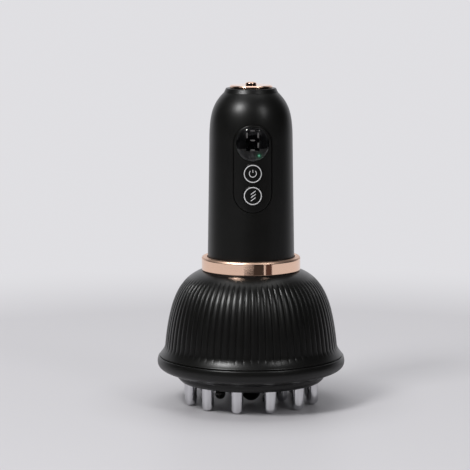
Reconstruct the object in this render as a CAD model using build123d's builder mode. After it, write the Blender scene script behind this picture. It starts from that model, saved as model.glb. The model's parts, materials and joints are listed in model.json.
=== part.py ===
from build123d import *
import os
from math import sqrt

# A hand-held massager that stands on its pins. Millimetres, +Z up, the front towards -Y.
# Z = 0 is the plane of the pin tips, and the Z axis runs through the handle.
# Heights add up from the pin tips. The handle's radii add up from the cell that it holds,
# and the head's radii are measured inwards from its seam.

# Clearances
SNUG = 0.05            # between pieces that are fastened together
PANEL_GAP = 0.2        # round the control panel, and between the tongue and what is beside it
KEY_GAP = 0.1          # round each key and the window
SCREW_GAP = 0.05       # round a screw's shank
RUN_GAP = 0.03         # round the motor shaft
CAP_GAP = 0.3          # between the cap and what it covers
SLEEVE_GAP = 0.25      # between the inner frame's base and the handle sleeve
COLLAR_GAP = 0.25      # between the collar and the handle

# Pins, beads and their plate
PIN_REACH = 12.0       # from the pin tips to the plate
PIN_RADIUS = 3.2
PIN_FLAT = 0.8         # radius of the flat worn on each tip
PIN_MARGIN = 5.9       # from the middle of the outer pins to the plate's edge
PIN_COUNT = 12
INNER_PIN_RADIUS = 3.0
INNER_RING = 16.5
INNER_COUNT = 3        # inner pins, with as many beads between them
PIN_FLANGE = 1.0       # how far a pin's head stands out beyond its shank
PIN_HEAD = 1.2
STUD_RADIUS = 1.2
STUD_TOP = 2.4         # from the plate's floor to the top of each stud
BEAD_RADIUS = 2.9
BEAD_STALK = 1.9
BEAD_TIP = 1.4         # height of the bead tips above the pin tips
NOZZLE_RADIUS = 5.1
NOZZLE_TIP = 0.6       # height of the nozzle tip above the pin tips
NOZZLE_NECK = 3.4
NOZZLE_TOP = 7.0       # from the plate's floor to the top of the nozzle's socket
NOZZLE_BORE = 0.6
PLATE_BEVEL = 2.0
PLATE_FLOOR = 3.0
PLATE_WALL = 1.6
PLATE_DEPTH = 5.0

# Lower shell of the head
HEAD_RADIUS = 49.45    # at the seam, where the head is widest but for the swell below it
RIM_WIDTH = 9.15       # from the seam in to the shell's mouth
MOUTH_GAP = 0.9        # groove between the plate and the lower shell
MOUTH_LIP = 1.8        # height of the mouth's edge below the plate's top
SHELF_REACH = 1.5      # how far the shelf covers the plate's wall
SHELF_THICK = 2.0
SHELL_RISE = 6.65      # from the shelf up to the seam
SEAM_GAP = 0.3
RIM_PULL_OUT = 2.9     # how the lower shell swells below the seam
RIM_PULL_DOWN = 8.7
RIM_PULL_IN = 2.7      # how it flattens out before its mouth
RIM_PULL_UP = 2.7
TONGUE_RISE = 4.35     # from the seam to the top of the tongue
TONGUE_WALL = 1.3
TONGUE_INSET = 5.75    # from the seam in to the tongue
POCKET_WALL = 1.5
POCKET_WIDTH = 2.3
POCKET_DEPTH = 4.6
LUG_COUNT = 6
LUG_RADIUS = 2.9
LUG_GAP = 1.2          # between the lugs and the contact board
PLATE_BOSS = 2.3
CARRIER_BOSS = 3.0
CARRIER_COUNT = 3
CARRIER_ANGLE = 30.0

# Ribbed dome
DOME_STEP = 0.1        # how far the dome's top edge stands out past the collar
WAIST_RISE = 5.25      # from the dome's foot up to the waist above its flare
WAIST_INSET = 3.5      # from the seam in to the waist
DOME_SHOULDER = (11.94, -4.11)   # pull of the curve as it leaves the dome's top
DOME_FLANK = (-2.27, 24.41)      # pull of the curve as it reaches the waist
FLARE_START = (0.25, -1.3)
FLARE_END = (-1.9, 1.9)
FLARE_STEP = 0.35      # how far the flare's edge lies inside the seam below it
DOME_WALL = 2.2
RIB_COUNT = 72
RIB_DROP = 4.4         # from the dome's top down to the start of the grooves
RIB_DEPTH = 0.6
RIB_GROOVE = 1.9       # width of each groove

# Collar ring
COLLAR_THICK = 2.9
COLLAR_HEIGHT = 7.3
COLLAR_TOP_BEVEL = 0.7
COLLAR_FOOT_BEVEL = 0.4
COLLAR_SEAL = 0.2

# Handle sleeve
HANDLE_WALL = 2.0
HANDLE_TAPER = 1.05    # how much narrower the handle is at its shoulder than at its foot
SHOULDER_DROP = 28.5   # from the top down to where the straight handle ends
SHOULDER_RISE = 14.94            # pull of the curve as it leaves the straight handle
SHOULDER_TURN = (5.96, -5.89)    # pull of the curve as it reaches the lip
LIP_DROP = 2.3
LIP_INSET = 7.8
LIP_WIDTH = 1.1

# Control panel, window and keys
PANEL_DROP = 17.8      # from the handle's top down to the panel
PANEL_BORDER = 1.4     # from the window to the panel's edge
PANEL_MARGIN = 3.6     # from the lower key down to the panel's edge
PANEL_SINK = 0.1       # how far the panel lies below the handle's surface
PANEL_THICK = 1.0
PANEL_BACK = 0.8       # thickness of the boss behind the keys
PANEL_LEDGE = 1.2      # width of the ledge that the panel sits on
WINDOW_RADIUS = 8.7
WINDOW_THICK = 1.5
WINDOW_BRIDGE = 1.35   # between the window and the upper key
KEY_BRIDGE = 1.0       # between the keys
KEY_RADIUS = 5.3
KEY_FLANGE = 0.5
KEY_FLANGE_THICK = 0.7
KEY_TRAVEL = 0.5
KEY_POST = 1.6

# Electronics
BOARD_THICK = 1.2
BOARD_DEPTH = 10.7     # from the handle's surface in to the back of the control board
BOARD_HALF_WIDTH = 11.0
BOARD_OVERHANG = 1.0   # how far the control board reaches below the panel
SWITCH_SIZE = 6.0
SWITCH_BODY = 3.0
SWITCH_STEM = 0.4
SWITCH_STEM_RADIUS = 1.7
PAD_THICK = 1.0
PAD_HALF_WIDTH = 5.0
PAD_CORNER = 1.6
MODULE_HALF_WIDTH = 3.4
MODULE_HEIGHT = 10.9
MODULE_GAP = 1.35      # between the display module and the window
MODULE_RISE = 1.9      # centre of the digit above the centre of the window
LED_RADIUS = 0.9
LED_X = 3.3
LED_DROP = 6.1         # centre of the lamp below the centre of the window
FRAME_GAP = 0.2        # between the display frame and the edge of the window
CELL_RADIUS = 9.25
CELL_LENGTH = 65.0
CELL_EDGE = 1.2
CELL_Y = 3.0
TAB_THICK = 0.25
CHARGE_HALF_WIDTH = 7.0
CHARGE_HEIGHT = 20.5
CHARGE_LIFT = 1.5      # from the frame's shelf up to the charging board
PORT_RISE = 9.5        # from the charging board's foot to the socket
PORT_WIDTH = 9.0
PORT_HEIGHT = 3.2
PORT_SHELL = 0.35
PORT_TONGUE = 0.7
PORT_MARGIN = 0.2      # round the port's mouth in the sleeve

# Inner frame of the handle
CHASSIS_GAP = 0.8      # between the rails and the sleeve
RAIL_THICK = 2.0
RAIL_HALF_WIDTH = 11.2
CHASSIS_BASE = 5.6
SHELF_PLATE = 2.0
CELL_HEADROOM = 6.5    # from the cell up to the tank's shelf
TOP_SHELF_GAP = 1.2
TOP_SHELF_THICK = 1.8
CHEEK_SIDE = 1.4       # from the control board's screws in to the edge of each cheek
CHEEK_THICK = 2.0
BACK_WALL = 0.85
BACK_WALL_MARGIN = 1.0
BACK_WALL_RISE = 3.0
DUCT_RADIUS = 2.2
DUCT_MARGIN = 1.05     # how far the ducts for the oil tube and the wires clear the cell

# Oil tank, pump and tube
TANK_GAP = 3.1
TANK_WALL = 1.2
TANK_SIDE = 3.05
TANK_CONE = 7.5
TANK_CONE_INSET = 2.8
NECK_HEIGHT = 2.8
NECK_GAP = 0.4         # between the neck and the cap's skirt
NECK_WALL = 1.5
SEAL_THICK = 0.25
TUBE_RADIUS = 1.6
TUBE_BORE = 1.0
SPIGOT_LENGTH = 4.0
TUBE_SLOPE = 16.0      # height over which the tube bends in to the middle of the head
BARREL_LENGTH = 12.0
BARREL_GAP = 0.8
BARREL_WALL = 1.6
BARREL_FLOOR = 1.6
BARREL_LIP = 1.4
FLANGE_INSET = 0.5     # from the neck's edge in to the barrel's flange
FLANGE_THICK = 0.9
PISTON_STEP = 1.0      # how much wider the piston is than the knob above it
PISTON_THICK = 1.2
KNOB_RISE = 1.7        # how far the knob stands above the cap
KNOB_DOME = 1.0
KNOB_BORE_GAP = 0.1
SPRING_INSET = 0.9     # from the barrel's bore in to the middle of the wire
SPRING_WIRE = 0.3
SPRING_TURNS = 4
CAP_INSET = 1.9        # from the handle's top edge in to the cap
CAP_THICK = 1.3
CAP_BEVEL = 0.5
CAP_SKIRT_INSET = 1.4
CAP_SKIRT_WALL = 1.6
CAP_SKIRT_LENGTH = 3.5

# Motor and its deck
CARRIER_THICK = 2.0
CARRIER_GAP = 0.8      # between the deck's edge and the dome
CARRIER_HOLE = 8.0
MOTOR_Y = 20.0
MOTOR_RADIUS = 8.0
MOTOR_LENGTH = 20.0
MOTOR_END = 3.0
MOTOR_CUP_WALL = 1.5
MOTOR_CUP_HEIGHT = 10.0
MOTOR_EARS = 13.0
MOTOR_HEADROOM = 6.15  # from the shaft up to the dome's ceiling
EAR_RADIUS = 3.4
SHAFT_RADIUS = 1.0
SHAFT_SINK = 6.0       # how far the shaft runs into the motor
SHAFT_RISE = 9.0
WEIGHT_RADIUS = 7.0
WEIGHT_THICK = 6.0
WEIGHT_HUB = 2.4
WEIGHT_LIFT = 1.5

# Contact board
CONTACT_MARGIN = 1.5   # from the plate's wall in to the board's edge
CONTACT_HOLE = 10.0
POST_RING = 25.0
POST_RADIUS = 2.6
POST_COUNT = 3
POST_ANGLE = 60.0

# Wires
WIRE_RADIUS = 0.9
WIRE_RISE = 6.5        # from the control board's foot up to its wires
WIRE_TOP_X = 6.0
WIRE_INSET = 5.0       # from the ring of posts in to where the wires come down

# Screws: radius of the head, height of the head, radius of the shank
PLATE_SCREW = (2.2, 1.2, 1.0)
NECK_SCREW = (2.2, 1.2, 1.2)
SLEEVE_SCREW = (2.0, 1.0, 1.0)
BOARD_SCREW = (1.6, 1.0, 0.8)
CHARGE_SCREW = (1.4, 0.8, 0.7)
SCREW_SLOT = (1.3, 0.25)         # length and width of a cross slot, as shares of its head's radius
SCREW_BITE = 5.0
NECK_SCREW_COUNT = 4
NECK_SCREW_ANGLE = 45.0
NECK_SCREW_INNER = 3.0 # from the dome's throat to the neck screws
NECK_SCREW_OUTER = 2.9 # from the neck screws to the edge of the frame's base

# Heights in the head
floor_z = PIN_REACH + PLATE_FLOOR
plate_top_z = PIN_REACH + PLATE_DEPTH
shelf_z = plate_top_z + SHELF_THICK
contact_z = floor_z + STUD_TOP
contact_top_z = contact_z + BOARD_THICK
seam_z = shelf_z + SHELL_RISE
tongue_top_z = seam_z + TONGUE_RISE
dome_foot_z = seam_z + SEAM_GAP
waist_z = dome_foot_z + WAIST_RISE
carrier_top_z = tongue_top_z + CARRIER_THICK
cup_z = carrier_top_z + CARRIER_THICK
motor_split_z = cup_z + SNUG + MOTOR_END
motor_top_z = cup_z + SNUG + MOTOR_LENGTH
weight_z = motor_top_z + WEIGHT_LIFT
dome_ceiling_z = motor_top_z + SHAFT_RISE + MOTOR_HEADROOM
dome_top_z = dome_ceiling_z + DOME_WALL
rib_top_z = dome_top_z - RIB_DROP
tube_bend_z = carrier_top_z + TUBE_SLOPE

# Radii in the head
mouth_radius = HEAD_RADIUS - RIM_WIDTH
plate_radius = mouth_radius - MOUTH_GAP
pin_ring = plate_radius - PIN_MARGIN
lug_ring = plate_radius - LUG_RADIUS
contact_radius = plate_radius - PLATE_WALL - CONTACT_MARGIN
tongue_radius = HEAD_RADIUS - TONGUE_INSET
tongue_inner = tongue_radius - TONGUE_WALL
carrier_ring = tongue_inner - CARRIER_BOSS - PANEL_GAP
dome_foot_inner = tongue_radius + PANEL_GAP
waist_radius = HEAD_RADIUS - WAIST_INSET
flare_radius = HEAD_RADIUS - FLARE_STEP
wire_hole_x = POST_RING - WIRE_INSET
ear_points = [(-MOTOR_EARS, MOTOR_Y), (MOTOR_EARS, MOTOR_Y)]

# Radii in the handle, from the cell outwards: the oil tube runs down at +X, the wires at -X
duct_x = CELL_RADIUS + DUCT_RADIUS + DUCT_MARGIN
throat_radius = duct_x + DUCT_RADIUS + CAP_GAP
neck_screw_ring = throat_radius + NECK_SCREW_INNER
base_radius = neck_screw_ring + NECK_SCREW_OUTER
handle_foot_radius = base_radius + SLEEVE_GAP + HANDLE_WALL
shoulder_radius = handle_foot_radius - HANDLE_TAPER
lip_radius = shoulder_radius - LIP_INSET
top_radius = lip_radius - LIP_WIDTH
collar_inner = handle_foot_radius + COLLAR_GAP
collar_radius = collar_inner + COLLAR_THICK
dome_top_radius = collar_radius + DOME_STEP
sleeve_inner = shoulder_radius - HANDLE_WALL
chassis_radius = sleeve_inner - CHASSIS_GAP
top_shelf_radius = sleeve_inner - TOP_SHELF_GAP
tank_radius = sleeve_inner - TANK_GAP
tank_cone_radius = lip_radius - TANK_CONE_INSET
cap_radius = top_radius - CAP_INSET
skirt_radius = cap_radius - CAP_SKIRT_INSET
skirt_inner = skirt_radius - CAP_SKIRT_WALL
neck_radius = skirt_inner - NECK_GAP
neck_bore = neck_radius - NECK_WALL
flange_radius = neck_radius - FLANGE_INSET
barrel_radius = neck_bore - BARREL_GAP
barrel_bore = barrel_radius - BARREL_WALL
knob_radius = barrel_bore - PISTON_STEP
knob_bore = knob_radius + KNOB_BORE_GAP
spring_radius = barrel_bore - SPRING_INSET

# Heights in the handle, from the dome up
collar_foot_z = dome_top_z + COLLAR_SEAL
collar_top_z = collar_foot_z + COLLAR_HEIGHT
base_top_z = dome_top_z + CHASSIS_BASE
shelf_plate_top = base_top_z + SHELF_PLATE
sleeve_screw_z = (dome_top_z + base_top_z) / 2 + COLLAR_SEAL
cell_foot_z = shelf_plate_top + 2 * SNUG + TAB_THICK + SNUG
cell_top_z = cell_foot_z + CELL_LENGTH
charge_foot_z = shelf_plate_top + CHARGE_LIFT
charge_top_z = charge_foot_z + CHARGE_HEIGHT
port_z = charge_foot_z + PORT_RISE
back_wall_top = charge_top_z + BACK_WALL_RISE
top_shelf_z = cell_top_z + CELL_HEADROOM
tank_foot_z = top_shelf_z + TOP_SHELF_THICK + SNUG
tank_wall_z = tank_foot_z + TANK_WALL
tank_side_top = tank_wall_z + TANK_SIDE
tank_cone_top = tank_side_top + TANK_CONE
neck_top = tank_cone_top + NECK_HEIGHT
seal_z = neck_top + SEAL_THICK
flange_z = seal_z + SNUG
top_z = flange_z + FLANGE_THICK
lip_z = top_z - LIP_DROP
shoulder_z = top_z - SHOULDER_DROP
barrel_foot_z = top_z - BARREL_LENGTH
spring_foot_z = barrel_foot_z + BARREL_FLOOR
piston_top_z = top_z - BARREL_LIP
piston_z = piston_top_z - PISTON_THICK
cap_foot_z = top_z + CAP_GAP
cap_top_z = cap_foot_z + CAP_THICK
knob_top_z = cap_top_z + KNOB_RISE

# Panel, window and keys
panel_half_width = WINDOW_RADIUS + PANEL_BORDER
panel_top_z = top_z - PANEL_DROP
window_z = panel_top_z - panel_half_width
power_z = window_z - WINDOW_RADIUS - WINDOW_BRIDGE - KEY_RADIUS
mode_z = power_z - 2 * KEY_RADIUS - KEY_BRIDGE
panel_foot_z = mode_z - KEY_RADIUS - PANEL_MARGIN
ledge_inset = PANEL_SINK + PANEL_THICK + SNUG
back_inset = PANEL_SINK + PANEL_THICK + PANEL_BACK
flange_inset = back_inset + KEY_GAP
key_inset = flange_inset + KEY_FLANGE_THICK
window_inset = PANEL_SINK + SNUG + WINDOW_THICK

# Boards behind the panel and at the back
board_y = BOARD_DEPTH - shoulder_radius
board_front_y = board_y - BOARD_THICK
board_foot_z = panel_foot_z - BOARD_OVERHANG
board_top_z = top_shelf_z - CAP_GAP
switch_y = board_front_y - SWITCH_BODY - SWITCH_STEM
pad_front_y = switch_y - PAD_THICK
post_end_y = pad_front_y - KEY_TRAVEL - KEY_GAP
module_y = window_inset + MODULE_GAP - shoulder_radius
module_z = window_z + MODULE_RISE
led_z = window_z - LED_DROP
wire_top_z = board_foot_z + WIRE_RISE
charge_y = CELL_Y + CELL_RADIUS + CAP_GAP + BACK_WALL
port_y = charge_y + BOARD_THICK
charge_screw_x = CHARGE_HALF_WIDTH - CHARGE_SCREW[0] - SNUG
charge_screw_z = charge_top_z - 2 * CHARGE_SCREW[0]
charge_screw_points = [(-charge_screw_x, charge_screw_z), (charge_screw_x, charge_screw_z)]
board_screw_x = BOARD_HALF_WIDTH - BOARD_SCREW[0]
board_screw_points = [
    (x, z)
    for x in (-board_screw_x, board_screw_x)
    for z in (board_foot_z + 1.5 * BOARD_SCREW[0], board_top_z - 1.5 * BOARD_SCREW[0])
]
cheek_inner = board_screw_x - CHEEK_SIDE
cheek_outer = sqrt(chassis_radius ** 2 - board_y ** 2)
back_wall_half = CHARGE_HALF_WIDTH + BACK_WALL_MARGIN

UP = (Align.CENTER, Align.CENTER, Align.MIN)
beyond = 2 * HEAD_RADIUS         # reaches past the whole object from the axis


def disc(radius, low, high, at=(0, 0), mode=Mode.ADD):
    """An upright cylinder from one height to another."""
    with Locations((at[0], at[1], low)):
        Cylinder(radius, high - low, align=UP, mode=mode)


def block(x, y, z, mode=Mode.ADD):
    """A box between two values along each axis."""
    middle = [(low + high) / 2 for low, high in (x, y, z)]
    with Locations(tuple(middle)):
        Box(x[1] - x[0], y[1] - y[0], z[1] - z[0], mode=mode)


def rod(radius, x, z, back, front, mode=Mode.ADD):
    """A cylinder along Y at a place on the front, between two values of Y."""
    with Locations(Location((x, (back + front) / 2, z), (90, 0, 0))):
        Cylinder(radius, abs(front - back), mode=mode)


def turned(points, mode=Mode.ADD):
    """A solid of revolution about the Z axis, from (radius, height) corners."""
    with BuildSketch(Plane.XZ) as section:
        with BuildLine():
            Polyline(*points, close=True)
        make_face()
    revolve(section.sketch, axis=Axis.Z, mode=mode)


def sleeve_form(inset, mode=Mode.ADD, drop=0.0):
    """The handle's bullet shape, drawn in all round by inset and lowered at its top by drop."""
    foot = (handle_foot_radius - inset, collar_foot_z)
    waist = (shoulder_radius - inset, shoulder_z)
    lip = (lip_radius - inset, lip_z - drop)
    top = (top_radius - inset, top_z - drop)
    turn = (lip[0] + SHOULDER_TURN[0], lip[1] + SHOULDER_TURN[1])
    with BuildSketch(Plane.XZ) as section:
        with BuildLine():
            Polyline((0, collar_foot_z), foot, waist)
            Bezier(waist, (waist[0], waist[1] + SHOULDER_RISE), turn, lip)
            Polyline(lip, top, (0, top[1]), (0, collar_foot_z))
        make_face()
    revolve(section.sketch, axis=Axis.Z, mode=mode)


def stadium(half_width, high, low, mode=Mode.ADD):
    """An upright rounded prism through the handle's front half."""
    with BuildSketch(Plane.XZ) as outline:
        with Locations((0, (high + low) / 2)):
            SlotOverall(high - low, 2 * half_width, rotation=90)
    extrude(outline.sketch, amount=beyond, mode=mode)


def round_layer(radius, z, outer, inner):
    """A round piece of the handle's wall, between two insets."""
    sleeve_form(outer)
    sleeve_form(inner, mode=Mode.SUBTRACT)
    rod(radius, 0, z, 0, -beyond, mode=Mode.INTERSECT)


def screws(kind, seat, length):
    """Upright screws, head upwards, at the current locations: seat is the height under the head."""
    head, thick, shank = kind
    with Locations((0, 0, seat)):
        Cylinder(head, thick, align=UP)
    with Locations((0, 0, seat - length)):
        Cylinder(shank, length, align=UP)
    with Locations((0, 0, seat + thick)):
        Box(head * SCREW_SLOT[0], head * SCREW_SLOT[1], thick, mode=Mode.SUBTRACT)
        Box(head * SCREW_SLOT[1], head * SCREW_SLOT[0], thick, mode=Mode.SUBTRACT)


def pins(radius, ring, count, start):
    """Blunt pins through the plate, each with a head on the plate's floor and a stud above."""
    centre_z = sqrt(radius ** 2 - PIN_FLAT ** 2)
    with PolarLocations(ring, count, start_angle=start):
        with Locations((0, 0, centre_z)):
            Sphere(radius)
            Cylinder(radius, floor_z - centre_z, align=UP)
        with Locations((0, 0, floor_z)):
            Cylinder(radius + PIN_FLANGE, PIN_HEAD, align=UP)
            Cylinder(STUD_RADIUS, STUD_TOP, align=UP)
    block((-beyond, beyond), (-beyond, beyond), (-beyond, 0), mode=Mode.SUBTRACT)


def save(piece, name):
    piece.part.label = name
    export_step(piece.part, f"parts/{name}.step")


os.makedirs("parts", exist_ok=True)

# Massage head: plate, pins and beads
with BuildPart() as pin_plate:
    turned([
        (0, PIN_REACH),
        (plate_radius - PLATE_BEVEL, PIN_REACH),
        (plate_radius, PIN_REACH + PLATE_BEVEL),
        (plate_radius, plate_top_z),
        (plate_radius - PLATE_WALL, plate_top_z),
        (plate_radius - PLATE_WALL, floor_z),
        (0, floor_z),
    ])
    with PolarLocations(lug_ring, LUG_COUNT):
        with Locations((0, 0, floor_z)):
            Cylinder(PLATE_BOSS, plate_top_z - floor_z, align=UP)
    with PolarLocations(POST_RING, POST_COUNT, start_angle=POST_ANGLE):
        with Locations((0, 0, floor_z)):
            Cylinder(POST_RADIUS, STUD_TOP, align=UP)
    plate_hole_z = shelf_z - SCREW_BITE - SCREW_GAP
    with PolarLocations(lug_ring, LUG_COUNT):
        with Locations((0, 0, plate_hole_z)):
            Cylinder(PLATE_SCREW[2] + SCREW_GAP, beyond, align=UP, mode=Mode.SUBTRACT)
    with PolarLocations(POST_RING, POST_COUNT, start_angle=POST_ANGLE):
        with Locations((0, 0, contact_top_z - SCREW_BITE - SCREW_GAP)):
            Cylinder(PLATE_SCREW[2] + SCREW_GAP, beyond, align=UP, mode=Mode.SUBTRACT)
    with PolarLocations(pin_ring, PIN_COUNT, start_angle=180 / PIN_COUNT):
        Cylinder(PIN_RADIUS + SNUG, beyond, mode=Mode.SUBTRACT)
    with PolarLocations(INNER_RING, INNER_COUNT, start_angle=0):
        Cylinder(INNER_PIN_RADIUS + SNUG, beyond, mode=Mode.SUBTRACT)
    with PolarLocations(INNER_RING, INNER_COUNT, start_angle=180 / INNER_COUNT):
        Cylinder(BEAD_STALK + SNUG, beyond, mode=Mode.SUBTRACT)
    disc(NOZZLE_RADIUS + SNUG, 0, beyond, mode=Mode.SUBTRACT)
save(pin_plate, "pin_plate")

with BuildPart() as outer_pins:
    pins(PIN_RADIUS, pin_ring, PIN_COUNT, 180 / PIN_COUNT)
save(outer_pins, "outer_pins")

with BuildPart() as inner_pins:
    pins(INNER_PIN_RADIUS, INNER_RING, INNER_COUNT, 0)
save(inner_pins, "inner_pins")

with BuildPart() as stone_beads:
    with PolarLocations(INNER_RING, INNER_COUNT, start_angle=180 / INNER_COUNT):
        with Locations((0, 0, BEAD_TIP + BEAD_RADIUS)):
            Sphere(BEAD_RADIUS)
            Cylinder(BEAD_STALK, floor_z - BEAD_TIP - BEAD_RADIUS, align=UP)
        with Locations((0, 0, floor_z)):
            Cylinder(BEAD_STALK + PIN_FLANGE, STUD_TOP, align=UP)
save(stone_beads, "stone_beads")

with BuildPart() as nozzle:
    nozzle_centre = NOZZLE_TIP + NOZZLE_RADIUS
    with Locations((0, 0, nozzle_centre)):
        Sphere(NOZZLE_RADIUS)
        Cylinder(NOZZLE_RADIUS, floor_z - nozzle_centre, align=UP)
    disc(NOZZLE_RADIUS + PIN_FLANGE, floor_z, floor_z + PIN_HEAD)
    disc(NOZZLE_NECK, floor_z, floor_z + NOZZLE_TOP)
    disc(NOZZLE_BORE, 0, floor_z + NOZZLE_TOP, mode=Mode.SUBTRACT)
    disc(TUBE_RADIUS + SNUG, floor_z + PIN_HEAD, floor_z + NOZZLE_TOP, mode=Mode.SUBTRACT)
save(nozzle, "nozzle")

# Lower shell, with its shelf, lugs, bosses and the tongue that enters the dome
with BuildPart() as base_rim:
    mouth_z = plate_top_z - MOUTH_LIP
    with BuildSketch(Plane.XZ) as rim_section:
        with BuildLine():
            Bezier(
                (HEAD_RADIUS, seam_z),
                (HEAD_RADIUS + RIM_PULL_OUT, seam_z - RIM_PULL_DOWN),
                (mouth_radius + RIM_PULL_IN, mouth_z + RIM_PULL_UP),
                (mouth_radius, mouth_z),
            )
            Polyline(
                (mouth_radius, mouth_z),
                (mouth_radius, plate_top_z),
                (plate_radius - SHELF_REACH, plate_top_z),
                (plate_radius - SHELF_REACH, shelf_z),
                (tongue_inner, shelf_z),
                (tongue_inner, tongue_top_z),
                (tongue_radius, tongue_top_z),
                (tongue_radius, seam_z),
                (HEAD_RADIUS, seam_z),
            )
        make_face()
    revolve(rim_section.sketch, axis=Axis.Z)
    pocket_inner = tongue_radius + POCKET_WALL
    turned([
        (pocket_inner, seam_z - POCKET_DEPTH),
        (pocket_inner + POCKET_WIDTH, seam_z - POCKET_DEPTH),
        (pocket_inner + POCKET_WIDTH, seam_z + SNUG),
        (pocket_inner, seam_z + SNUG),
    ], mode=Mode.SUBTRACT)
    with PolarLocations(lug_ring, LUG_COUNT):
        with Locations((0, 0, plate_top_z)):
            Cylinder(LUG_RADIUS, SHELF_THICK, align=UP)
            Cylinder(PLATE_SCREW[2] + 2 * SCREW_GAP, SHELF_THICK, align=UP, mode=Mode.SUBTRACT)
    with PolarLocations(carrier_ring, CARRIER_COUNT, start_angle=CARRIER_ANGLE):
        with Locations((0, 0, shelf_z)):
            Cylinder(CARRIER_BOSS, tongue_top_z - shelf_z, align=UP)
        with Locations((0, 0, carrier_top_z - 2 * SCREW_BITE - SCREW_GAP)):
            Cylinder(PLATE_SCREW[2] + SCREW_GAP, beyond, align=UP, mode=Mode.SUBTRACT)
save(base_rim, "base_rim")

with BuildPart() as plate_screws:
    with PolarLocations(lug_ring, LUG_COUNT):
        screws(PLATE_SCREW, shelf_z, SCREW_BITE)
save(plate_screws, "plate_screws")

with BuildPart() as contact_board:
    disc(contact_radius, contact_z, contact_top_z)
    disc(CONTACT_HOLE, contact_z, contact_top_z, mode=Mode.SUBTRACT)
    with PolarLocations(lug_ring, LUG_COUNT):
        Cylinder(LUG_RADIUS + LUG_GAP, beyond, mode=Mode.SUBTRACT)
    with PolarLocations(POST_RING, POST_COUNT, start_angle=POST_ANGLE):
        Cylinder(PLATE_SCREW[2] + 2 * SCREW_GAP, beyond, mode=Mode.SUBTRACT)
save(contact_board, "contact_board")

with BuildPart() as board_screws:
    with PolarLocations(POST_RING, POST_COUNT, start_angle=POST_ANGLE):
        screws(PLATE_SCREW, contact_top_z, SCREW_BITE)
save(board_screws, "board_screws")

# Ribbed dome: one curve gives its flank and the path that each groove follows
top = (dome_top_radius, dome_top_z)
waist = (waist_radius, waist_z)
shoulder = (top[0] + DOME_SHOULDER[0], top[1] + DOME_SHOULDER[1])
flank = (waist[0] + DOME_FLANK[0], waist[1] + DOME_FLANK[1])

with BuildPart() as groove:
    with BuildLine(Plane.XZ):
        route = Bezier(top, shoulder, flank, waist)
    with BuildSketch(Plane(origin=route @ 0, x_dir=(0, 1, 0), z_dir=route % 0)) as notch:
        with BuildLine():
            Polyline(
                (0, -RIB_DEPTH), (RIB_GROOVE, RIB_DEPTH), (-RIB_GROOVE, RIB_DEPTH), (0, -RIB_DEPTH)
            )
        make_face()
    sweep(notch.sketch, path=route)
    block((0, beyond), (-RIB_GROOVE, RIB_GROOVE), (waist_z, rib_top_z), mode=Mode.INTERSECT)

with BuildPart() as dome_shell:
    foot = (flare_radius, dome_foot_z)
    flare_start = (waist[0] + FLARE_START[0], waist[1] + FLARE_START[1])
    flare_end = (foot[0] + FLARE_END[0], foot[1] + FLARE_END[1])
    with BuildSketch(Plane.XZ) as dome_section:
        with BuildLine():
            Polyline((0, dome_foot_z), (0, dome_top_z), top)
            Bezier(top, shoulder, flank, waist)
            Bezier(waist, flare_start, flare_end, foot)
            Line(foot, (0, dome_foot_z))
        make_face()
    revolve(dome_section.sketch, axis=Axis.Z)
    with BuildSketch(Plane.XZ) as cavity:
        with BuildLine():
            inner_top = (top[0], dome_ceiling_z)
            inner_waist = (dome_foot_inner, waist_z)
            Polyline((0, dome_foot_z), (0, dome_ceiling_z), inner_top)
            Bezier(
                inner_top,
                (shoulder[0] - DOME_WALL / 2, shoulder[1] - DOME_WALL),
                (flank[0] - DOME_WALL, flank[1] - DOME_WALL / 2),
                inner_waist,
            )
            Polyline(inner_waist, (dome_foot_inner, dome_foot_z), (0, dome_foot_z))
        make_face()
    revolve(cavity.sketch, axis=Axis.Z, mode=Mode.SUBTRACT)
    disc(throat_radius, dome_foot_z, dome_top_z, mode=Mode.SUBTRACT)
    with PolarLocations(neck_screw_ring, NECK_SCREW_COUNT, start_angle=NECK_SCREW_ANGLE):
        with Locations((0, 0, dome_ceiling_z)):
            Cylinder(NECK_SCREW[2] + 2 * SCREW_GAP, DOME_WALL, align=UP, mode=Mode.SUBTRACT)
    with PolarLocations(0, RIB_COUNT, start_angle=180 / RIB_COUNT):
        add(groove.part, mode=Mode.SUBTRACT)
save(dome_shell, "dome_shell")

# Collar and its seal
with BuildPart() as collar_ring:
    turned([
        (collar_inner, collar_foot_z),
        (collar_radius - COLLAR_FOOT_BEVEL, collar_foot_z),
        (collar_radius, collar_foot_z + COLLAR_FOOT_BEVEL),
        (collar_radius, collar_top_z - COLLAR_TOP_BEVEL),
        (collar_radius - COLLAR_TOP_BEVEL, collar_top_z),
        (collar_inner, collar_top_z),
    ])
save(collar_ring, "collar_ring")

with BuildPart() as collar_seal:
    disc(collar_radius - COLLAR_FOOT_BEVEL, dome_top_z, collar_foot_z)
    disc(collar_inner, dome_top_z, collar_foot_z, mode=Mode.SUBTRACT)
save(collar_seal, "collar_seal")

# Handle sleeve, with the panel's pocket, the port's slot and the cap's opening
with BuildPart() as panel_pocket:
    stadium(panel_half_width + PANEL_GAP, panel_top_z + PANEL_GAP, panel_foot_z - PANEL_GAP)
    sleeve_form(ledge_inset, mode=Mode.SUBTRACT)

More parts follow.
